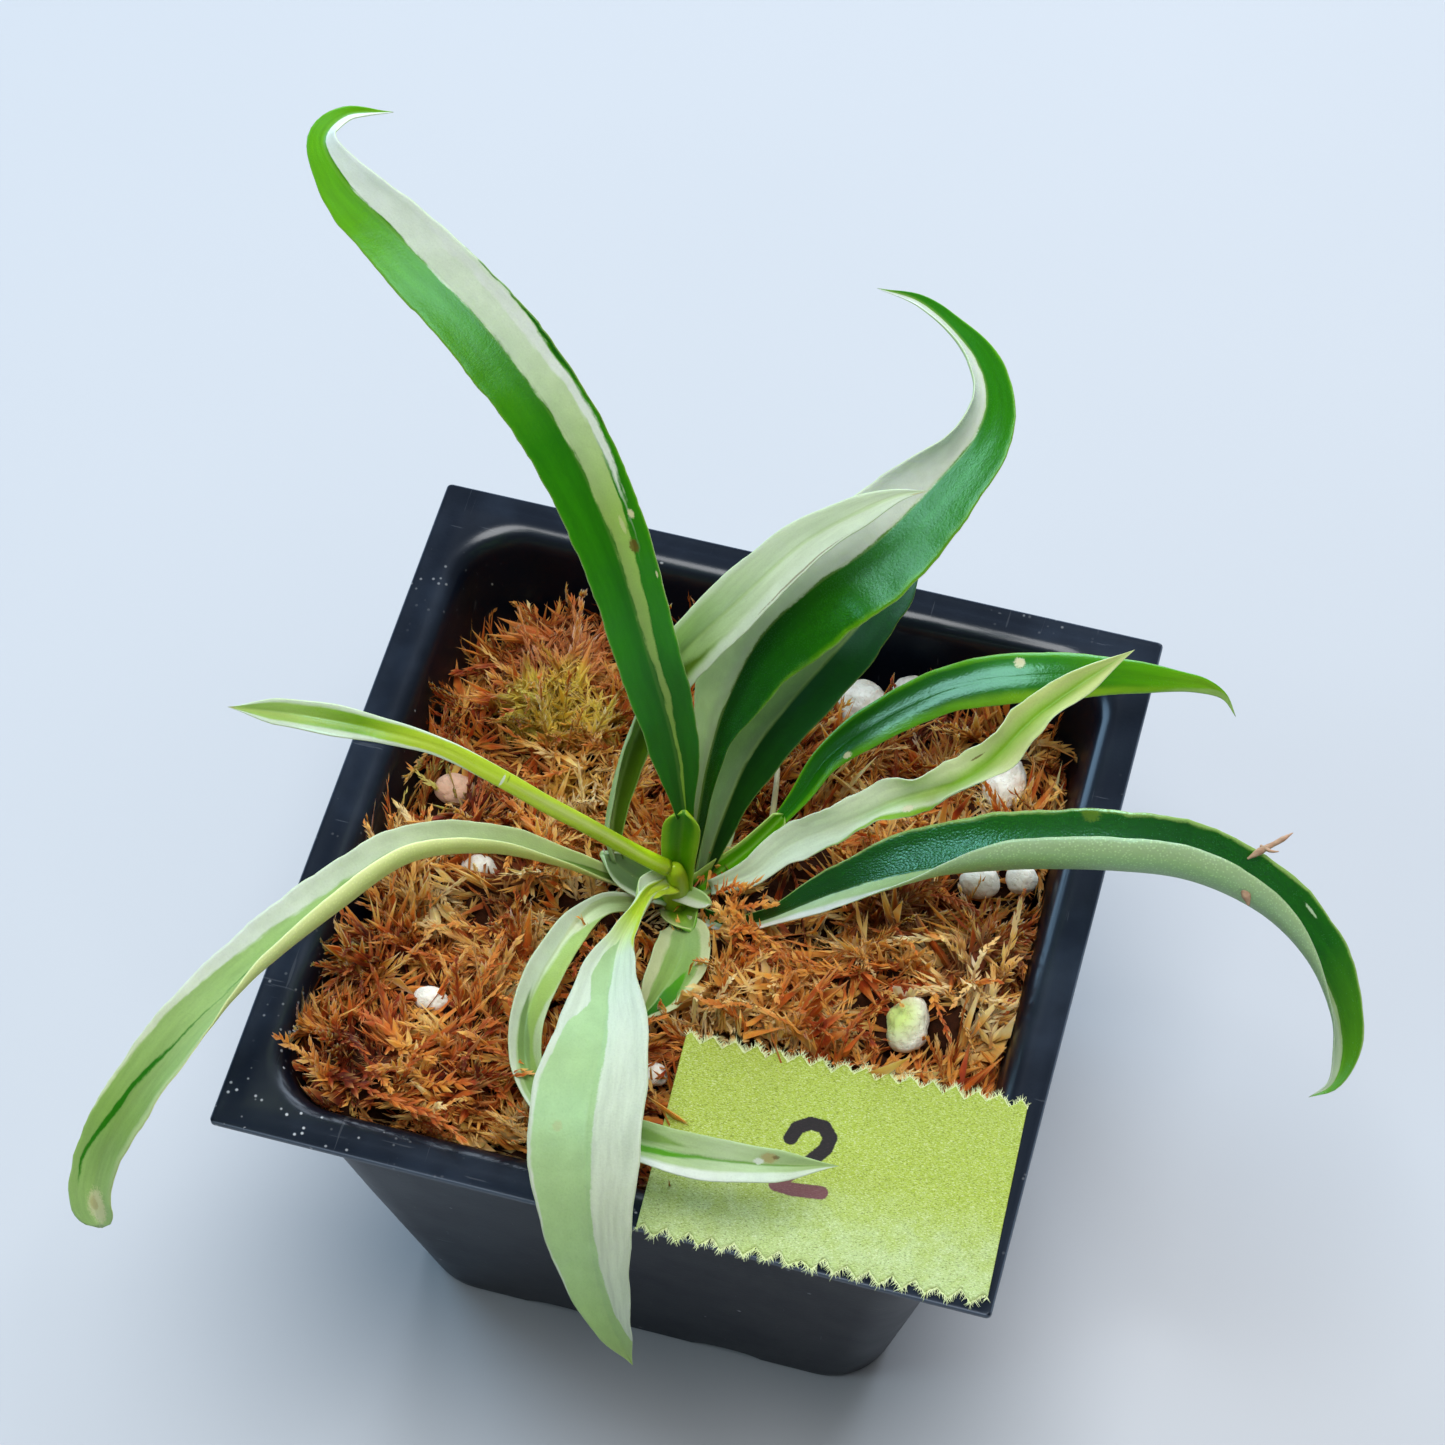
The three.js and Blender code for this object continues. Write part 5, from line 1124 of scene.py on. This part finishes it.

# Fronds set one by one: foot, tip, breadth and shade from 0, dark red, to 1, straw. They stand over the lip
# at the front left and at the right, over the stalks by the crown and beside the green chip.
sprigs = [
    ((-27.2, -27.6, 53.8), (-32, -24.2, 57.8), 2.1, 0.5),
    ((-27, -28.6, 54), (-30.6, -26.6, 58.2), 1.9, 0.42),
    ((-27.6, -30.4, 54.2), (-32.8, -29.2, 57), 1.9, 0.6),
    ((-27.4, -31.4, 54.2), (-31.6, -30.9, 56.8), 1.6, 0.66),
    ((-18.2, -27.6, 54), (-25.8, -24, 57.4), 2.4, 0.62),
    ((-19.2, -28.4, 54.6), (-24.6, -27.2, 57.8), 2.2, 0.74),
    ((-21, -29.4, 54.8), (-23.4, -28.8, 58), 1.8, 0.9),
    ((-17.2, -25.4, 54.2), (-21.4, -22.6, 57.4), 2.1, 0.56),
    ((-29.6, -29.8, 54.6), (-20.7, -32, 55.9), 1.9, 0.2), ((-22.6, -31, 55), (-12.6, -32.2, 56), 1.8, 0.16),
    ((-20.4, -30, 55), (-13.6, -27.6, 56.8), 2.1, 0.36),
    ((-15.4, -26, 54.4), (-10.4, -29.8, 56.6), 2.1, 0.3), ((-25.2, -28.8, 55), (-19, -30.6, 57.2), 2, 0.34),
    ((-24, -25.6, 55), (-17.6, -28.2, 57), 2, 0.46), ((2, -4.2, 54), (7.2, -2.6, 55.4), 2.2, 0.9),
    ((2.8, -5.4, 54.2), (9.4, -4.4, 55.2), 2, 0.72), ((1.8, -1.6, 54.6), (5.2, -0.4, 55.8), 2, 1),
    ((3, -2.4, 54.8), (6.4, -3, 55.8), 1.9, 0.84), ((6.4, -4.6, 54.4), (1.6, -3.8, 55.4), 1.8, 0.96),
    ((5, -5.8, 54.2), (2, -3, 55.4), 1.7, 1), ((-26.6, 17.4, 51.6), (-21.8, 15.2, 53.8), 1.4, 0),
    ((-24.8, 13.6, 52), (-20.6, 12.8, 54), 1.3, 0.02), ((21.6, 4.8, 52.6), (25.8, 3.6, 54.4), 1.4, 0),
    ((29.4, -5.4, 52.6), (33, 3.6, 57.2), 1.5, 0.92), ((30.6, -3.4, 53.6), (31.2, -0.2, 56.4), 1.3, 0.86),
    ((31, -9.6, 52), (29.6, -2, 54.6), 1.6, 0.8), ((23.4, -5.2, 54), (26.8, -10.8, 55.2), 1.3, 0.12),
    ((18.4, -7.2, 53.8), (23.2, -8.4, 55.4), 1.1, 0.74), ((1.4, -4.9, 53.2), (8.4, -7, 54.8), 1.5, 0.18),
    ((7.4, -3.8, 53.6), (3.2, -4.6, 55.2), 1.6, 0.6), ((10.2, -6, 54), (4.6, -8.6, 55), 1.4, 0.44),
    ((-21.2, -17.6, 54), (-18.8, -13.6, 55.4), 0.7, 0.94), ((27.4, 12, 52.8), (30.6, 16.8, 54.4), 1.4, 0.3),
]


# The tree that sets a frond on each marked point, turned and stretched as its marks say
def sprigTree():
    g = Growth("mossSprigs", ("Fronds", "Collection"))
    long, wide, _ = g.split(g.named("size", "FLOAT_VECTOR"))
    placed = g.geometry(
        "InstanceOnPoints", g.geometry("MeshToPoints", g.start), Instance=g.kinds(g.given("Fronds")),
        Pick_Instance=True, Rotation=g.angles(g.named("turn", "FLOAT_VECTOR")),
        Scale=g.join(long, wide, wide))
    return g.end(g.keep(placed, "tint", g.named("lot"), "FLOAT", "INSTANCE"))


def sprigGuide():
    turns, sizes = [], []
    unitLong, unitWide = moss["sprigUnit"]
    for foot, tip, wide, _ in sprigs:
        run = Vector(tip) - Vector(foot)
        turns.append((0, -math.atan2(run.z, math.hypot(run.x, run.y)), math.atan2(run.y, run.x)))
        sizes.append((run.length / unitLong, wide * unitWide, 0))
    return guideMesh("mossSprigs", [Vector(foot) * mm for foot, *_ in sprigs],
                     {"lot": [lot for *_, lot in sprigs], "turn": turns, "size": sizes})


growFronds("mossSprigs", "sprig", sprigGuide(), sprigTree(), moss["sprigSeed"], False)
print("moss strewn")


# The crown: stem, roots and sheaths. A round piece is its path and its radii.
crown = {
    "stem": ([(-2.6, -0.2, 40), (-2.4, -0.8, 49), (-2.1, -1.7, 55), (-2.1, -2.5, 59.8)],
             [2.2, 2.6, 1.9, 1.3, 0.8]),
    "airRoot": ([(5, 7, 55.2), (4.6, 10.4, 57.2), (3.6, 14.6, 53.4), (3.2, 17, 45)],
                [0.3, 0.26, 0.26, 0.22]),
    "rootTop": (-2.6, -0.4, 42), "rootRadii": [1, 0.8, 0.5],
    "rootEnds": [[(3, 3, 37), (9, 7, 28)], [(-8, 2, 37), (-13, 6, 26)], [(-6, -6, 36), (-9, -12, 27)],
                 [(2, -6, 36), (7, -11, 24)]],
    "sides": 20, "steps": 60, "tipShare": 0.06, "tipLeast": 0.02, "lumpScale": 420,
}

sheaths = {
    "stemSheath": {
        "path": [(-1.9, -1.5, 54.4), (-1.9, -1.2, 60), (-1.6, -0.6, 67)],
        "face": [(0.1, -0.9, 0.3), (0.1, -0.9, 0.3)], "half": [1.5, 1.7, 1.9, 1.9], "rib": [1.6, 1.5, 1.2],
        "fold": [30, 22, 8], "blunt": 0.2, "base": ("grass", "grass", "green"), "under": "young",
        "rough": 0.34, "ribShow": 0.1,
        "bands": [("yellowGreen", [0.5, 0.62, 0.72], 1.2, 0.22),
                  ("yellowGreen", -1.2, [-0.5, -0.62, -0.72], 0.22)],
    },
    "rightSheath": {
        "path": [(-0.8, 0.2, 51.5), (3.5, 4.5, 54), (6.1, 7.8, 56.2)],
        "face": [(0.1, -0.5, 0.8), (0.1, -0.5, 0.8)], "half": [1.4, 1.6, 1.5, 1.2], "rib": [1.6, 1.5, 1.3],
        "fold": [30, 45, 45], "base": "grass", "under": "lime", "rough": 0.36, "ribShow": 0.2,
        "bands": [("lime", [0.6, 0.7], 1.2, 0.15),
                  ("lime", -1.2, [-0.6, -0.7], 0.15)],
    },
    "leftBract": {
        "path": [(-3, -1.3, 52.2), (-6.4, -1.4, 53.9), (-9.4, -1.5, 57)],
        "face": [(0, -0.3, 0.9), (0.1, -0.4, 0.9)], "half": [1.6, 2.4, 2.3, 1.5], "rib": [2.2, 1.8, 1.2],
        "fold": [20, 38, 40], "base": ("grass", "slate", "grey"), "under": "sage", "rough": 0.4,
        "ribShow": 0.1, "blunt": 0.2,
        "bands": [("mint", [0.74, 0.7], 1.2, 0.12),
                  ("mint", -1.2, -0.74, 0.12)],
    },
    "frontBract": {
        "path": [(-2.3, -2.8, 56.8), (-3.5, -4.6, 58.8), (-4.3, -6.8, 60.3)],
        "face": [(0, -0.3, 0.9), (0.1, -0.4, 0.9)], "half": [1.2, 1.6, 1.5], "rib": [1.4, 1.3, 0.9],
        "fold": [20, 30, 30], "blunt": 0.25, "base": "bright", "under": "lime", "rough": 0.4,
        "ribShow": 0.1,
        "bands": [("mint", 0.2, 1.2, 0.3)],
    },
    "smallBract": {
        "path": [(-2, -2, 54), (1.6, -3.2, 55.4)],
        "face": [(0, -0.3, 0.9), (0.1, -0.5, 0.9)], "half": [1, 1, 0.8], "rib": [1.2, 1, 0.8],
        "fold": [10, 20, 20], "blunt": 0.3, "base": "sage", "under": "sage", "rough": 0.42, "ribShow": 0.1,
        "bands": [("white", 0.2, 1.2, 0.3)],
    },
    "baseCup": {
        "path": [(-2.2, -1.5, 50.2), (-0.9, -3.5, 52.2), (0.4, -5.4, 53.8)],
        "face": [(0.1, -0.3, 0.9), (0.2, -0.5, 0.8)], "half": [1.9, 2.3, 2], "rib": [2, 1.6, 1],
        "fold": [20, 30, 30], "blunt": 0.5, "base": ("grass", "yellowGreen", "fern"), "under": "grass",
        "rough": 0.38, "ribShow": 0.05, "edge": 0.1,
        "bands": [("butter", 0.7, 1.2, 0.2)],
    },
    "backBract": {
        "path": [(-1.6, 1, 50.8), (-0.2, 5, 52), (0.6, 8.2, 53.2)],
        "face": [(0.2, -0.4, 0.9), (0.2, -0.4, 0.9)], "half": [1.4, 1.6, 1.2], "rib": [1.8, 1.4, 0.9],
        "fold": [10, 25, 25], "blunt": 0.3, "base": "cream", "under": "cream", "rough": 0.45,
        "ribShow": 0.1,
        "bands": [("fern", -0.3, 0.3, 0.3)],
    },
}


# The tree that draws a round stem or root along a line, as thick as its mark "radius" says
def stalkTree():
    g = Growth("stalk", ("Sides", "Int", 16), ("Uneven", "Float", 0.1))
    ring = g.node("GeometryNodeCurvePrimitiveCircle", {}, {"Resolution": g.given("Sides"), "Radius": 1.0})
    lumps = (g.cloud(g.place(), crown["lumpScale"], 3.0) - 0.5) * g.given("Uneven") * 2 + 1
    shape = g.geometry("CurveToMesh", g.geometry("MeshToCurve", g.start), Profile_Curve=ring,
                       Scale=g.named("radius") * lumps, Fill_Caps=True)
    return g.end(g.smooth(shape))


def stemFinish():
    s = Finish("stemSkin", Subsurface_Weight=0.12, Subsurface_Scale=0.0015, Specular_IOR_Level=0.45)
    height = s.split(s.place)[2]
    cloudy = s.cloud(s.place, 380, 4.0, 0.6)
    fibres = s.cloud(s.place * (1900, 1900, 240), 1.0, 3.0)
    colour = s.coat(s.tint(cloudy, tone(132, 164, 14), tone(176, 204, 36)),
                    (height, 0.0525, 0.0505, 0.7, (104, 92, 50)), (fibres, 0.5, 0.75, 0.25, (96, 136, 20)))
    return s.feed(Base_Color=colour, Roughness=0.34 + cloudy * 0.15,
                  Normal=s.relief(fibres + cloudy, 0.3, 0.00012))


def rootFinish():
    s = Finish("rootSkin", Specular_IOR_Level=0.3)
    cloudy = s.cloud(s.place, 520, 4.0, 0.6)
    fine = s.cloud(s.place, 2600)
    return s.feed(Base_Color=s.tint(cloudy, tone(196, 196, 158), tone(150, 126, 82)),
                  Roughness=0.6 + fine * 0.2, Normal=s.relief(fine + cloudy, 0.5, 0.0002))


stalk = stalkTree()


def roundRun(name, slot, path, radii, finish, uneven, *nodes):
    steps = [i / (crown["steps"] - 1) for i in range(crown["steps"])]
    radii = [along(radii, t) * mm * roundEnd(t, crown["tipShare"], crown["tipLeast"]) for t in steps]
    guide = guideMesh(name, smoothPath(path, crown["steps"]), {"radius": radii})
    piece = grow(name, guide, stalk, Sides=crown["sides"], Uneven=uneven, Finish=finish)
    settle(piece, slot, *nodes)


roundRun("stem", "crown", *crown["stem"], stemFinish(), 0.05, "crown")
rootSkin = rootFinish()
roots = [crown["airRoot"], *[([crown["rootTop"], *ends], crown["rootRadii"]) for ends in crown["rootEnds"]]]
for number, root in enumerate(roots, 1):
    roundRun(f"root{number}", "crown", *root, rootSkin, 0.16)
for seed, (name, look) in enumerate(sheaths.items(), 20):
    settle(growBlade(name, look, seed, name + "Skin", 0.1, 0.03), "crown")
print("crown grown")


# The paper label: a sheet cut with pinking shears, in millimetres from its middle
label = {
    "size": (32.8, 21), "thickness": 0.16, "centre": (20, -26.8), "turn": 2.4, "columns": 320, "rows": 56,
    "foot": 55.02, "waves": 0.1, "waveSpans": (7, 5), "endLift": 0.05, "endBend": 14,
    "teeth": 15.5, "tooth": 1.05, "unevenTeeth": 0.45, "ragged": 0.14, "drift": 0.12, "seed": 5,
    "fibres": 900, "fibreLong": 0.9, "fibreFoot": 55.2, "fibreRadii": (0.00001, 0.00005), "edgeSteps": 400,
    "figure": [(-4.5, 1.9), (-4.1, 3.1), (-3.0, 3.8), (-1.7, 3.7), (-0.9, 2.7), (-1.1, 1.5), (-2.2, 0.0),
               (-3.6, -1.5), (-4.8, -3.0), (-3.2, -3.15), (-0.6, -2.9)],
    "stroke": 0.62,
}
labelTurn = Matrix.Rotation(math.radians(label["turn"]), 3, "Z")


def onPot(x, y, z):
    return (labelTurn @ Vector((x, y, 0)) + Vector((*label["centre"], z))) * mm


# How far the cut of one side comes in at x
def cutLine(x, side):
    place = (x / label["size"][0] + 0.5) * label["teeth"] * 2 + side * 0.6
    uneven = noiseAt(place * 0.4, side * 9.0, label["seed"])
    ragged = noiseAt(x * 3.1, side * 5.0, label["seed"] + 2) * label["ragged"]
    tooth = abs((place % 2) - 1) * label["tooth"] * (1 + label["unevenTeeth"] * uneven)
    return tooth + ragged + label["drift"] * uneven


def labelSheet():
    wide, high = label["size"]
    columns, rows = label["columns"], label["rows"]
    longSpan, wideSpan = label["waveSpans"]
    shape = bmesh.new()
    flats = []

    def put(i, j, layer):
        x = (i / columns - 0.5) * wide
        top, bottom = high / 2 - cutLine(x, 1), -high / 2 + cutLine(x, -1)
        y = bottom + (top - bottom) * j / rows
        waves = label["waves"] * (noiseAt(x / longSpan, y / wideSpan, 3) + 1)
        lift = min(abs(x) / (wide / 2), 1) ** label["endBend"] * label["endLift"]
        flats.append((x, y, 0))
        return shape.verts.new(onPot(x, y, label["foot"] + layer * label["thickness"] + waves + lift))

    below, above = [[[put(i, j, layer) for j in range(rows + 1)] for i in range(columns + 1)]
                    for layer in (0, 1)]
    for i in range(columns):
        for j in range(rows):
            shape.faces.new((above[i][j], above[i + 1][j], above[i + 1][j + 1], above[i][j + 1]))
            shape.faces.new((below[i][j], below[i][j + 1], below[i + 1][j + 1], below[i + 1][j]))
    for j in range(rows):
        shape.faces.new((below[0][j], above[0][j], above[0][j + 1], below[0][j + 1]))
        shape.faces.new((below[-1][j], below[-1][j + 1], above[-1][j + 1], above[-1][j]))
    for i in range(columns):
        shape.faces.new((below[i][0], below[i + 1][0], above[i + 1][0], above[i][0]))
        shape.faces.new((below[i][-1], above[i][-1], above[i + 1][-1], below[i + 1][-1]))
    mesh = turnOut(shape, bpy.data.meshes.new("paperLabel"))
    mesh.shade_smooth()
    mark(mesh, "flat", flats)
    return mesh


def fibreFinish():
    s = Finish("tornPaper", Specular_IOR_Level=0.2)
    colour = s.tint(s.cloud(s.place, 700, 3.0), tone(208, 226, 150), tone(238, 244, 206))
    return s.feed(Base_Color=colour, Roughness=0.7 + s.cloud(s.place, 4000) * 0.2)


def paperFinish():
    s = Finish("labelPaper", Specular_IOR_Level=0.35)
    flat = s.read("flat", "Vector")
    x, y, _ = s.split(flat)
    pulp = s.cloud(flat, 0.55, 4.0, 0.6)
    weave = s.cloud(flat * (1.0, 6.0, 1.0), 2.4, 3.0, 0.65)
    slant = s.cloud(flat * (1.2, 5.6, 1.0) + (5, 3, 2), 2.6, 3.0, 0.65)
    speck = s.cloud(flat * (1.0, 1.8, 1.0) + (9, 4, 1), 5.6, 2.0, 0.6)
    # paler towards the bottom: partly the paper's own tone, partly a painted sheen
    colour = s.tint(s.rise(y + (pulp - 0.5) * 8, -9, 0), tone(178, 200, 136), tone(164, 184, 58))
    colour = s.coat(
        colour, (pulp, 0.35, 0.65, 0.4, (152, 176, 50)), (weave, 0.5, 0.64, 0.6, (204, 216, 146)),
        (slant, 0.52, 0.66, 0.6, (112, 128, 38)), (speck, 0.57, 0.67, 0.6, (80, 86, 34)),
        (speck, 0.42, 0.34, 0.4, (230, 236, 204)))
    # the figure's ink: how near its strokes each place lies
    ink = label["size"][0]
    for (ax, ay), (bx, by) in zip(label["figure"], label["figure"][1:]):
        t = ((x - ax) * (bx - ax) + (y - ay) * (by - ay)) / ((bx - ax) ** 2 + (by - ay) ** 2)
        t = s.maths("MINIMUM", s.maths("MAXIMUM", t, 0), 1)
        gap = s.measure("LENGTH", s.join(x - ax - t * (bx - ax), y - ay - t * (by - ay), 0))
        ink = s.maths("MINIMUM", ink, gap)
    bleed = (s.cloud(flat, 6.0, 3.0, 0.7) - 0.5) * 0.22 + (weave - 0.5) * 0.16
    worn = s.rise(y, -2.2, 0.5)
    inkColour = s.tint(s.rise(y, -3.2, 0.2), tone(104, 24, 66), tone(14, 4, 8))
    inkColour = s.tint(s.rise(weave, 0.55, 0.72) * (0.5 - worn * 0.4), inkColour, tone(156, 96, 116))
    stroke = s.fall(ink + bleed, label["stroke"], label["stroke"] + 0.14)
    colour = s.tint(stroke * (0.9 + worn * 0.1), colour, inkColour)
    rough = 0.62 - s.rise(y, 2, -8) * 0.14 + (speck - 0.5) * 0.2
    bump = s.relief(weave + slant + speck * 0.7, 0.45, 0.00008)
    return s.feed(Base_Color=colour, Roughness=rough, Normal=bump)


# The tree that sets torn paper fibres along the two cut edges
def frayTree():
    g = Growth("frayedEdge", ("Count", "Int", 400), ("Length", "Float", 0.0007), ("Seed", "Int", 1))
    count, length, seed = g.given("Count", "Length", "Seed")
    points = g.geometry("CurveToPoints", g.geometry("MeshToCurve", g.start), {"mode": "COUNT"}, Count=count)
    thin, thick = label["fibreRadii"]
    # one millimetre long, and then stretched
    hair = g.node("GeometryNodeMeshCone", {}, {
        "Vertices": 3, "Side Segments": 3, "Radius Top": thin, "Radius Bottom": thick, "Depth": mm})
    stretch = g.join(1, 1, g.chance(0.25, 1.0, seed) * length * 1000)
    tilt = g.join(g.chance(-1.9, -1.2, seed + 1), g.chance(-0.1, 0.1, seed + 2),
                  g.chance(-0.9, 0.9, seed + 3))
    outward = g.turned(g.angles(tilt), g.join(0, 0, g.named("way") * math.pi), "GLOBAL")
    return g.end(g.geometry("InstanceOnPoints", points, Instance=hair, Rotation=outward, Scale=stretch))


def edgeGuide():
    wide, high = label["size"]
    steps = label["edgeSteps"]
    spots = [((i / steps - 0.5) * wide, side) for side in (1, -1) for i in range(steps + 1)]
    points = [onPot(x, side * (high / 2 - cutLine(x, side)), label["fibreFoot"]) for x, side in spots]
    edges = [(k, k + 1) for k in range(len(points) - 1) if k != steps]
    return guideMesh("frayedEdge", points, {"way": [0.0 if side > 0 else 1.0 for _, side in spots]}, edges)


labelMesh = labelSheet()
labelMesh.materials.append(paperFinish())
settle(newObject("paperLabel", labelMesh), "label", "label")
settle(grow("labelFray", edgeGuide(), frayTree(), Count=label["fibres"], Length=label["fibreLong"] * mm,
            Seed=label["seed"], Finish=fibreFinish()), "label")
print("label cut and marked")


# The tree that sets a worn stone on each marked point and roughens it by where it lies
def chipTree():
    g = Growth("wornChips", ("Lumps", "Float", 0.2), ("Pits", "Float", 0.05), ("Fineness", "Int", 5))
    size = g.named("size", "FLOAT_VECTOR")
    ball = g.node("GeometryNodeMeshIcoSphere", {}, {"Radius": 1.0, "Subdivisions": g.given("Fineness")})
    placed = g.geometry("InstanceOnPoints", g.geometry("MeshToPoints", g.start), Instance=ball, Scale=size)
    placed = g.keep(placed, "breadth", g.measure("LENGTH", size), "FLOAT", "INSTANCE")
    whole = g.geometry("RealizeInstances", placed)
    lumps = (g.cloud(g.place(), pumice["lumpScale"]) - 0.5) * 2 * g.given("Lumps")
    pits = g.fall(g.cloud(g.place(), pumice["pitScale"], 2.0, 0.6), *pumice["pitEdge"]) * g.given("Pits")
    push = g.node("GeometryNodeInputNormal") * ((lumps - pits) * g.named("breadth"))
    return g.end(g.smooth(g.geometry("SetPosition", whole, Offset=push)))


def stoneFinish():
    s = Finish("pumiceStone", Specular_IOR_Level=0.3, Subsurface_Weight=0.06, Subsurface_Scale=0.001)
    cloudy = s.cloud(s.place, 260, 4.0, 0.6)
    pores = s.fall(s.cloud(s.place, 1900, 3.0, 0.7), 0.36, 0.5)
    colour = s.tint(cloudy, tone(244, 244, 236), tone(228, 224, 208))
    # one chip is partly green with algae, one is pink, and the pores are darker
    green = s.spot((0.0218, -0.0104, 0.0558), 0.0016, 0.0048, cloudy * 0.0016)
    pink = s.spot((-0.0271, 0.0052, 0.0506), 0.002, 0.004)
    for share, hue in ((green * 0.9, (188, 212, 104)), (pink * 0.8, (206, 146, 110)),
                       (pores * 0.2, (180, 166, 138))):
        colour = s.tint(share, colour, tone(*hue))
    return s.feed(Base_Color=colour, Roughness=0.75 + pores * 0.15,
                  Normal=s.relief(cloudy - pores * 0.6, 0.5, 0.0002))


chipGuide = guideMesh("pumiceChips", [Vector(at) * mm for at, _ in pumice["chips"]],
                      {"size": [Vector(size) * mm for _, size in pumice["chips"]]})
chips = grow("pumiceChips", chipGuide, chipTree(), Lumps=pumice["lumps"], Pits=pumice["pits"],
             Fineness=pumice["fineness"], Finish=stoneFinish())
settle(chips, "pumice", *[f"pumice_{k + 1}" for k in range(len(pumice["chips"]))])
print("chips laid")


# Scraps of dry moss on the right leaf: a flake that stands up at its back edge, and crumbs
scraps = [
    ([(50.6, 8.7, 66.5), (51.8, 9.7, 67.1), (53, 10.6, 67.6), (54.2, 11.6, 68.2)],
     [0.1, 0.34, 0.26, 0.3, 0.05]),
    ([(51.5, 10, 67.2), (52.6, 9.5, 67.5), (53.3, 9.6, 67.6)], [0.12, 0.16, 0.05]),
    ([(50.6, 5.3, 67.2), (51.3, 4.7, 66.6), (51.7, 4.1, 66)], [0.15, 0.4, 0.12]),
]


def scrapFinish():
    s = Finish("dryScrap", Specular_IOR_Level=0.25, Subsurface_Weight=0.2, Subsurface_Scale=0.0008)
    fibres = s.cloud(s.place * (900, 2400, 2400), 1.0, 3.0)
    colour = s.tint(fibres, tone(128, 88, 62), tone(206, 178, 150))
    return s.feed(Base_Color=colour, Roughness=0.6 + fibres * 0.2, Normal=s.relief(fibres, 0.5, 0.0001))


scrapSkin = scrapFinish()
for number, scrap in enumerate(scraps, 1):
    roundRun(f"scrap{number}", "moss", *scrap, scrapSkin, 0.5)


# The camera, the floor and the light
view = {"place": (53.7, -180.9, 393.1), "azimuth": -15.9, "elevation": 58.67, "roll": 0.68,
        "focal": 4000, "frame": 1445, "sensor": 36}
# each lamp: direction from the rim, distance and size in metres, power in watts, colour
lamps = {
    "ceiling": ((0.05, -0.02, 1.0), 1.0, 0.6, 9.3, (1.0, 0.985, 0.96)),
    "frontPane": ((-0.5, -0.38, 0.78), 1.0, 0.24, 1.1, (0.72, 0.92, 1.0)),
    "window": ((0.02, 0.92, 0.38), 1.3, 1.1, 18.0, (0.78, 0.88, 1.0)),
    "sideWindow": ((-0.8, 0.5, 0.33), 1.2, 0.8, 7.5, (0.45, 0.73, 1.0)),
}
room = {"colour": (0.88, 0.94, 1.0, 1), "strength": 0.13, "floorReach": 1.5,
        "floorTints": ((0.482, 0.506, 0.543, 1), (0.51, 0.532, 0.57, 1))}


def aimCamera():
    azimuth, elevation, roll = [math.radians(view[key]) for key in ("azimuth", "elevation", "roll")]
    ahead = Vector((math.sin(azimuth) * math.cos(elevation), math.cos(azimuth) * math.cos(elevation),
                    -math.sin(elevation)))
    level = Vector((math.cos(azimuth), -math.sin(azimuth), 0))
    below = ahead.cross(level)
    right = math.cos(roll) * level + math.sin(roll) * below
    down = math.cos(roll) * below - math.sin(roll) * level
    lens = bpy.data.cameras.new("camera")
    lens.sensor_width = view["sensor"]
    lens.lens = view["focal"] / view["frame"] * view["sensor"]
    camera = newObject("camera", lens)
    turn = Matrix((right, -down, -ahead)).transposed().to_4x4()
    camera.matrix_world = Matrix.Translation(Vector(view["place"]) * mm) @ turn
    bpy.context.scene.camera = camera


def softLight(name, direction, distance, size, power, colour):
    lamp = bpy.data.lights.new(name, "AREA")
    lamp.shape = "DISK"
    lamp.size = size
    lamp.energy = power
    lamp.color = colour
    thing = newObject(name, lamp)
    towards = Vector(direction).normalized()
    thing.location = towards * distance + Vector((0, 0, rimZ))
    thing.rotation_euler = towards.to_track_quat("Z", "Y").to_euler()


def makeFloor():
    mesh = bpy.data.meshes.new("floor")
    reach = room["floorReach"]
    mesh.from_pydata([(-reach, -reach, 0), (reach, -reach, 0), (reach, reach, 0), (-reach, reach, 0)], [],
                     [(0, 1, 2, 3)])
    floor = newObject("floor", mesh)
    s = Finish("paleFloor", Roughness=0.7)
    mesh.materials.append(s.feed(Base_Color=s.tint(s.cloud(s.place, 9.0, 3.0), *room["floorTints"])))


aimCamera()
makeFloor()
for name, settings in lamps.items():
    softLight(name, *settings)
world = bpy.data.worlds.new("paleRoom")
bpy.context.scene.world = world
world.use_nodes = True
sky = world.node_tree.nodes["Background"]
sky.inputs["Color"].default_value = room["colour"]
sky.inputs["Strength"].default_value = room["strength"]
bpy.context.scene.view_settings.view_transform = "Standard"
print("camera, floor and light set")
